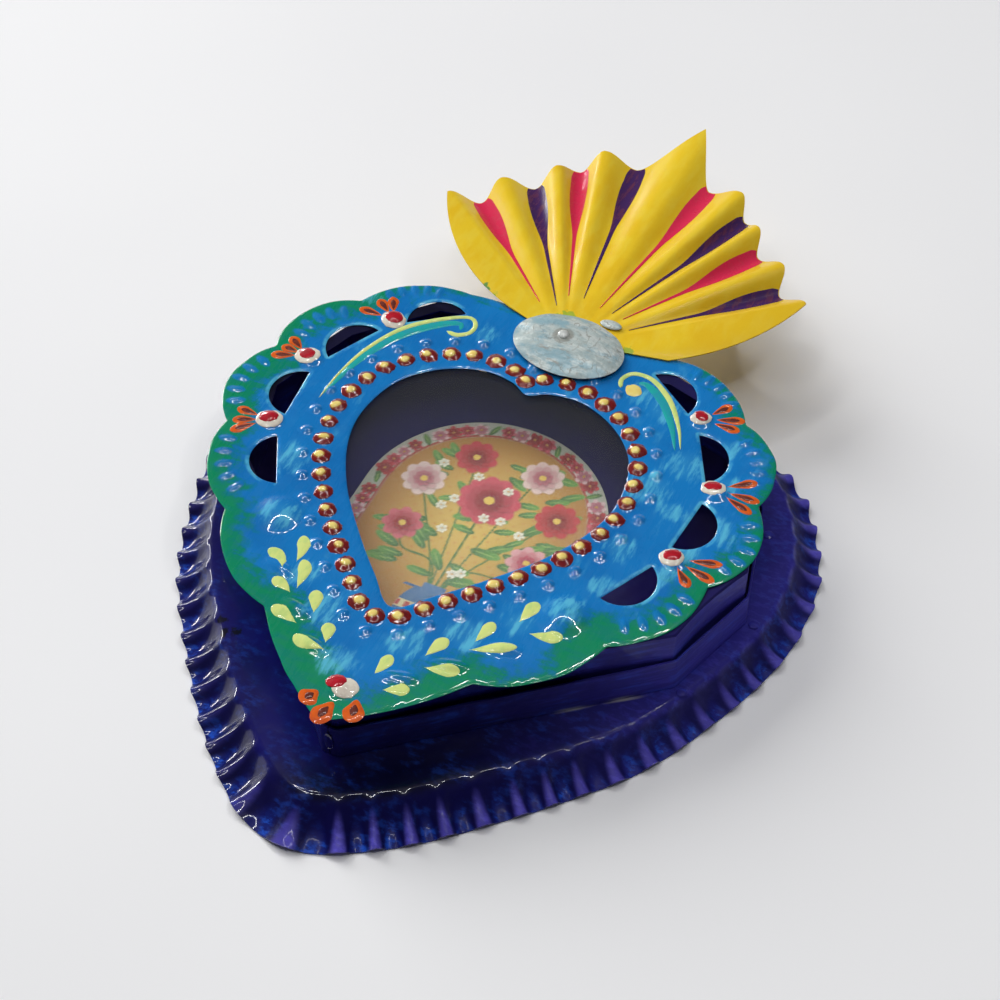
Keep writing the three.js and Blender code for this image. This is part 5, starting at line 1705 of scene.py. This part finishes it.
def softened(name, cad_node, material, slot, body, bevel=0.0, rounds=0, press=None):
    """A merged copy of a solid with bevelled or smoothed edges, standing for it."""
    obj = link_object(name, frame["nodes"][cad_node].data.copy())
    face_out(obj)
    if press:
        flatten(obj, *press)
    if bevel:
        modifier = obj.modifiers.new("bevel", "BEVEL")
        modifier.width = bevel * MM
        modifier.segments = 2
        modifier.limit_method = "ANGLE"
        modifier.angle_limit = math.radians(35)
    if rounds:
        modifier = obj.modifiers.new("round", "SUBSURF")
        modifier.levels = rounds
        modifier.render_levels = rounds
    bake(obj)
    return finish(obj, material, body, [cad_node], smooth=80 if rounds else 40)


# %% Hinge, clips, tacks and lumps
def enamelled(name, cad_node, body, enamel=wall_enamel, **settings):
    softened(name, cad_node, enamel, "base_enamel", body, **settings)


enamelled("hinge_leaf_box", "hinge_box_leaf", "box", bevel=0.1)
enamelled("hinge_leaf_lid", "hinge_lid_leaf", "lid", bevel=0.1)
softened("hinge_wire", "hinge_pin", bare_tin, "bare_tin", "box", bevel=0.12)
for i in range(1, 7):
    softened(f"pane_clip_{i}", f"glass_clip_{i}", bare_tin, "bare_tin", "lid", bevel=0.1)
for place in [f"{side}_{i}" for side in ("right", "left") for i in range(1, 5)]:
    enamelled(
        f"foot_lump_{place}", f"foot_tack_{place}", "box", tray_enamel, rounds=1,
        press=((0, 0, 1), 0.3))
for i in (1, 2):
    enamelled(f"box_leaf_lump_{i}", f"box_leaf_tack_{i}", "box", rounds=1)
    enamelled(f"lid_leaf_lump_{i}", f"lid_leaf_tack_{i}", "lid", rounds=1)
enamelled("tip_lump", "tip_solder", "box", rounds=1, press=((-0.06, -1, 0), 0.5))
enamelled("cleft_lump", "cleft_solder", "box", rounds=1)
softened("lid_tip_lump", "lid_tip_solder", grey_solder, "solder", "lid", rounds=1)
softened(
    "flame_lump", "flame_solder", silver, "silver_paint", "lid", rounds=2, press=((0, 0, 1), 0.6))

# %% [markdown]
# ## The glass
# The pane's solid is right as it is. Clear glass in Cycles lets no direct light through to what
# lies below it, so shadow rays alone see it as transparent; they pass it dimmed, which darkens the
# inside of the box as painted shade. Faint smudges roughen it in places.

# %% Glass
glass, shader, mm = new_material(
    "window_glass", Metallic=0.0, Transmission_Weight=0.985, IOR=1.46,
    Base_Color=(0.86, 0.89, 0.89))
smudge = streaks(mm, 0.06, (1, 0.5, 1), low=0.5, high=0.75)
wire(shader, Roughness=ramp(smudge, 0.0, 1.0, 0.01, 0.06))
# Painted shade: shadow rays pass the pane dimmed.
dimmed_shadow_pass = result(mm.tree, "ShaderNodeBsdfTransparent", {"Color": (0.70, 0.73, 0.73)})
shadow_ray = result(mm.tree, "ShaderNodeLightPath", None, "Is Shadow Ray")
mixed = result(
    mm.tree, "ShaderNodeMixShader", {0: shadow_ray, 1: Value(shader.outputs[0]), 2: dimmed_shadow_pass})
set_input(mm.tree.nodes["Material Output"].inputs["Surface"], mixed)
pane = frame["nodes"]["glass_pane"]
pane.data.materials.clear()
pane.data.materials.append(glass)

# %% [markdown]
# ## The picture card
# A colour print lies on the floor: a gold ground in a cream border, green leaves, and red, pink and
# white flowers. The design here is a plain bouquet in a vase, of the maker's own drawing. It is
# painted into the points of a fine flat net, shape after shape, like layers of ink.

# %% Ink helpers
CARD_RADIUS = 36.7
CARD_CENTRE = np.array([-0.2, 17.3])
CARD_FOOT = -38.0
CARD_CORNER = 10.0
CARD_STEP = 0.42
CARD_THICKNESS = 0.4
CARD_LOW = CARD_FOOT - CARD_CENTRE[1]
# Bare paper, seen as the cream ground of the border.
PAPER = (0.50, 0.50, 0.42)


def card_net():
    """Points of a net cut to the card's outline, in the card's own axes, and its quads."""
    xs = np.arange(-CARD_RADIUS, CARD_RADIUS + CARD_STEP / 2, CARD_STEP)
    ys = np.arange(CARD_LOW, CARD_RADIUS + CARD_STEP / 2, CARD_STEP)
    x, y = np.meshgrid(xs, ys)
    # Squeeze each row into the width that the outline has there.
    half = np.where(y > 0, np.sqrt(np.clip(CARD_RADIUS ** 2 - y ** 2, 0.04, None)), CARD_RADIUS)
    half = np.minimum(half, CARD_RADIUS - CARD_CORNER + np.clip(y - CARD_LOW, 0, None) + 1e-6)
    x = x / CARD_RADIUS * np.minimum(half, CARD_RADIUS)
    return x.ravel(), y.ravel(), len(ys), len(xs)


card_x, card_y, card_rows, card_columns = card_net()
ink = np.tile(np.array(PAPER), (len(card_x), 1))


def lay(cover, colour):
    """Lay ink over the card where cover is above 0."""
    cover = np.clip(cover, 0, 1)[:, None]
    ink[:] = ink * (1 - cover) + np.asarray(colour, float) * cover


def oval(cx, cy, a, b, turn=0.0, soft=0.12):
    """Cover of an oval, and how far along it each point lies, from -1 to 1."""
    u, v = turned(card_x - cx, card_y - cy, turn)
    u, v = u / a, v / b
    return np.clip((1 - np.sqrt(u * u + v * v)) / soft, 0, 1), np.clip(u, -1, 1)


def leaf(cx, cy, length, turn, tone):
    cover, along = oval(cx, cy, length, length * 0.36, turn)
    dark, light = np.array([0.03, 0.13, 0.03]) * tone, np.array([0.16, 0.38, 0.06]) * tone
    lay(cover, dark + (light - dark) * (along[:, None] + 1) / 2)
    rib, _ = oval(cx, cy, length * 0.9, 0.28, turn, soft=0.5)
    lay(rib * 0.6, (0.40, 0.55, 0.15))


def blossom(cx, cy, radius, inner, outer, petals, layers=3, heart=(0.85, 0.55, 0.08), turn=0.0):
    """Layers of petals round a heart, the inner ones smaller and deeper in colour."""
    for layer in range(layers):
        size = radius * (1 - 0.27 * layer)
        mix = layer / max(1, layers - 1)
        base = np.array(outer) * (1 - mix) + np.array(inner) * mix
        for k in range(petals):
            angle = turn + 2 * math.pi * (k + 0.5 * (layer % 2)) / petals
            px, py = cx + 0.56 * size * math.cos(angle), cy + 0.56 * size * math.sin(angle)
            shade, _ = oval(px + 0.15, py - 0.3, size * 0.47, size * 0.36, angle, soft=0.25)
            lay(shade * 0.55, base * 0.35)
            cover, along = oval(px, py, size * 0.45, size * 0.33, angle)
            lay(cover, base * (0.72 + 0.42 * (along[:, None] + 1) / 2))
    cover, _ = oval(cx, cy, radius * 0.17, radius * 0.17)
    lay(cover, heart)


def stem(points, width, colour):
    line = smooth_line(points, 90)
    gap = np.min(np.hypot(card_x[:, None] - line[:, 0], card_y[:, None] - line[:, 1]), axis=1)
    lay(soft_edge(width - gap, 0.25), colour)


def soft_edge(gap, soft):
    """Cover that rises from 0 at the edge to 1, soft being the way it takes."""
    return np.clip(gap / soft, 0, 1)


# %% Draw the ground and the border
dice = random.Random(5)
GOLD_HALF = 31.0
BORDER_LINE = 33.6
inner_gap = np.where(card_y > 0, np.hypot(card_x, card_y), np.abs(card_x))
gold = soft_edge(GOLD_HALF - inner_gap, 0.5) * (card_y > CARD_LOW + 6)
glow = np.exp(-((card_x / 24) ** 2 + ((card_y + 4) / 30) ** 2))[:, None]
lay(gold, np.array([0.40, 0.13, 0.012]) * (1 - glow) + np.array([0.74, 0.47, 0.09]) * glow)
lattice = np.hypot((card_x + card_y) % 4.2 - 2.1, (card_x - card_y) % 4.2 - 2.1)
lay(gold * soft_edge(0.62 - lattice, 0.2) * 0.55, (0.60, 0.20, 0.03))
lay(soft_edge(0.5 - np.abs(inner_gap - 31.2), 0.2), (0.45, 0.05, 0.03))
DEEP_RED = (0.30, 0.005, 0.01)
ROSE = (0.50, 0.14, 0.18)
BORDER_TINTS = [
    ((0.35, 0.005, 0.012), (0.55, 0.02, 0.035)), ((0.55, 0.16, 0.22), (0.78, 0.50, 0.50)),
    ((0.42, 0.01, 0.03), (0.70, 0.10, 0.15)),
]
arch = np.linspace(0.03, math.pi - 0.03, 26)
border = [(BORDER_LINE * math.cos(a), BORDER_LINE * math.sin(a)) for a in arch]
border += [(side * BORDER_LINE, -4.2 * (k + 1)) for k in range(10) for side in (1, -1)]
for k, (cx, cy) in enumerate(border):
    leaf(cx, cy, 2.6, 1.2 * (-1) ** k + k, 0.8)
    if k % 5:
        tints = BORDER_TINTS[k % 3]
        blossom(cx, cy, dice.uniform(2.3, 3.1), *tints, 6, 2, heart=(0.60, 0.30, 0.06))

# %% Draw the bouquet
# Each flower: place, radius, inner and outer colour, petals.
HEADS = [
    (-19, -12, 6.2, (0.38, 0.01, 0.02), (0.66, 0.12, 0.16), 8),
    (19.5, -11, 6.2, (0.50, 0.05, 0.10), (0.74, 0.34, 0.36), 8),
    (-21, 6, 6.8, ROSE, (0.78, 0.56, 0.52), 9),
    (21, 7, 6.8, DEEP_RED, (0.55, 0.02, 0.03), 9),
    (-10.5, 20, 6.6, DEEP_RED, (0.58, 0.03, 0.05), 9),
    (10.5, 20.5, 6.6, ROSE, (0.78, 0.54, 0.50), 9),
    (0, 6, 9.6, (0.32, 0.005, 0.02), (0.64, 0.06, 0.10), 11),
]
for cx, cy, *_ in HEADS:
    stem([(0, -36), (cx * 0.25, -22), (cx * 0.8, cy - 8), (cx, cy)], 0.45, (0.04, 0.17, 0.03))
for k in range(64):
    side = -1 if k % 2 else 1
    cx, cy = side * dice.uniform(2, 27), dice.uniform(-28, 24)
    if math.hypot(cx, max(cy, 0)) < 28:
        length, turn = dice.uniform(3.2, 5.0), dice.uniform(-0.5, 0.9)
        leaf(cx, cy, length, turn if side > 0 else math.pi - turn, 1.0)
for head in HEADS:
    blossom(*head, turn=dice.uniform(0, 1))
for k in range(12):
    cx, cy = dice.uniform(-24, 24), dice.uniform(-24, 26)
    if math.hypot(cx, max(cy, 0)) < 27:
        blossom(cx, cy, 1.7, (0.9, 0.75, 0.3), (0.92, 0.85, 0.70), 6, 1, heart=(0.8, 0.35, 0.05))

# %% Draw the vase and darken the print as painted shade
belly = 8.0 * np.sqrt(np.clip(1 - ((card_y + 40) / 11.0) ** 2, 0, 1))
neck = 3.6 * (np.abs(card_y + 30.5) < 1.6)
vase = soft_edge(belly * (card_y < -31) * (card_y > -50) + neck - np.abs(card_x), 0.3)
lay(vase, (0.05, 0.16, 0.36))
lay(vase * (np.abs(card_y + 38.5) < 1.4), (0.85, 0.72, 0.40))
marks = soft_edge(0.9 - np.abs((card_x % 3.0) - 1.5), 0.3) * (np.abs(card_y + 38.5) < 0.9)
lay(vase * marks, (0.60, 0.05, 0.05))
# Painted shade: the whole print is darkened for the dim light inside the box.
ink *= (0.86, 0.84, 0.82)
print("card points:", len(card_x))

# %% Card mesh and print finish
card_top = np.full(len(card_x), FLOOR_TOP + SEAT + CARD_THICKNESS)
card = new_object(
    "picture_card", np.column_stack([card_x + CARD_CENTRE[0], card_y + CARD_CENTRE[1], card_top]),
    grid_faces(card_rows, card_columns))
layer = card.data.attributes.new("ink", "FLOAT_COLOR", "POINT")
opaque_ink = np.column_stack([ink, np.ones(len(ink))]).astype(np.float32)
layer.data.foreach_set("color", opaque_ink.ravel())
solidify(card, CARD_THICKNESS)
print_material, shader, mm = new_material("card_print", Metallic=0.0, Roughness=0.45)
grain = ramp(noise_of(mm, 2.5, detail=3.0), 0.3, 0.7, 0.0, 0.12)
wire(shader, Base_Color=mix_colour(grain, point_value(mm, "ink", "Color"), (0.75, 0.68, 0.55)))
relief(shader, mm, distance=0.05, wave=0.08, bristle=2.0, share=0.2)
finish(card, print_material, "box", ["print_card"])

# %% [markdown]
# ## Table, light and camera
# The box lies on a plain white table between grey walls. A broad soft light stands at the back
# left, and a ring of small lamps hangs above, which gives the beads their shine. The camera stands
# where the picture's perspective puts it: in front, to the right, and well above.

# %% Table
bpy.ops.mesh.primitive_plane_add(size=6.0, location=(0, 0, 0))
table = bpy.context.object
table.name = "table_top"
table_paint, shader, mm = new_material("table_paint", Metallic=0.0, Roughness=0.6)
tone = ramp(noise_of(mm, 0.004, detail=2.0), 0.3, 0.7)
wire(shader, Base_Color=mix_colour(tone, (0.88, 0.88, 0.885), (0.91, 0.91, 0.913)))
table.data.materials.append(table_paint)

# %% Lights
def area_light(name, place, target, size, power, shape="RECTANGLE", size_y=None):
    data = bpy.data.lights.new(name, "AREA")
    data.shape = shape
    data.size = size
    data.size_y = size_y or size
    data.energy = power
    light = link_object(name, data)
    light.location = place
    light.rotation_euler = (Vector(target) - Vector(place)).to_track_quat("-Z", "Y").to_euler()
    return light


# The broad light only fills: it isn't seen in the gloss, where a narrow strip shines instead.
broad = area_light("window_light", (-1.95, 0.75, 1.45), (0, 0, 0), size=1.7, power=51.0)
broad.visible_glossy = False
strip = area_light(
    "strip_light", (-1.45, 0.60, 0.36), (0, 0, 0.02), size=1.5, size_y=0.05, power=12.0)
strip.visible_diffuse = False
RING_LAMPS = 36
RING_RADIUS = 0.40
RING_HEIGHT = 0.95
LAMP_SIZE = 0.035
LAMP_POWER = 0.156
for i in range(RING_LAMPS):
    turn = 2 * math.pi * i / RING_LAMPS
    x, y = RING_RADIUS * math.cos(turn), RING_RADIUS * math.sin(turn)
    area_light(f"ring_lamp_{i}", (x, y, RING_HEIGHT), (x, y, 0), LAMP_SIZE, LAMP_POWER, "DISK")

# %% Room
# Grey walls up to a low height and a dim ceiling, which flat glossy paint mirrors.
world = bpy.data.worlds.new("grey_room")
bpy.context.scene.world = world
world.use_nodes = True
background = world.node_tree.nodes["Background"]
upwards = result(world.node_tree, "ShaderNodeTexCoord", None, "Generated")["Z"]
wire(background, Strength=1.0, Color=mix_colour(
    ramp(upwards, 0.12, 0.24), (0.70, 0.70, 0.72), (0.045, 0.045, 0.055)))

# %% Camera
AZIMUTH = math.radians(24.95)
ELEVATION = math.radians(48.16)
# The lens's place in the lid's axes, from the fitted perspective.
CAMERA_PLACE = (176.24, -348.53, PLATE_TOP + 439.49)
camera_data = bpy.data.cameras.new("camera")
camera_data.lens = 77.0
camera_data.sensor_width = 36.0
camera = link_object("camera", camera_data)
camera.location = to_frame([CAMERA_PLACE])[0]
across = math.cos(ELEVATION)
back = Vector((math.sin(AZIMUTH) * across, -math.cos(AZIMUTH) * across, math.sin(ELEVATION)))
camera.rotation_euler = back.to_track_quat("Z", "Y").to_euler()
bpy.context.scene.camera = camera
bpy.context.scene.view_settings.view_transform = "Standard"
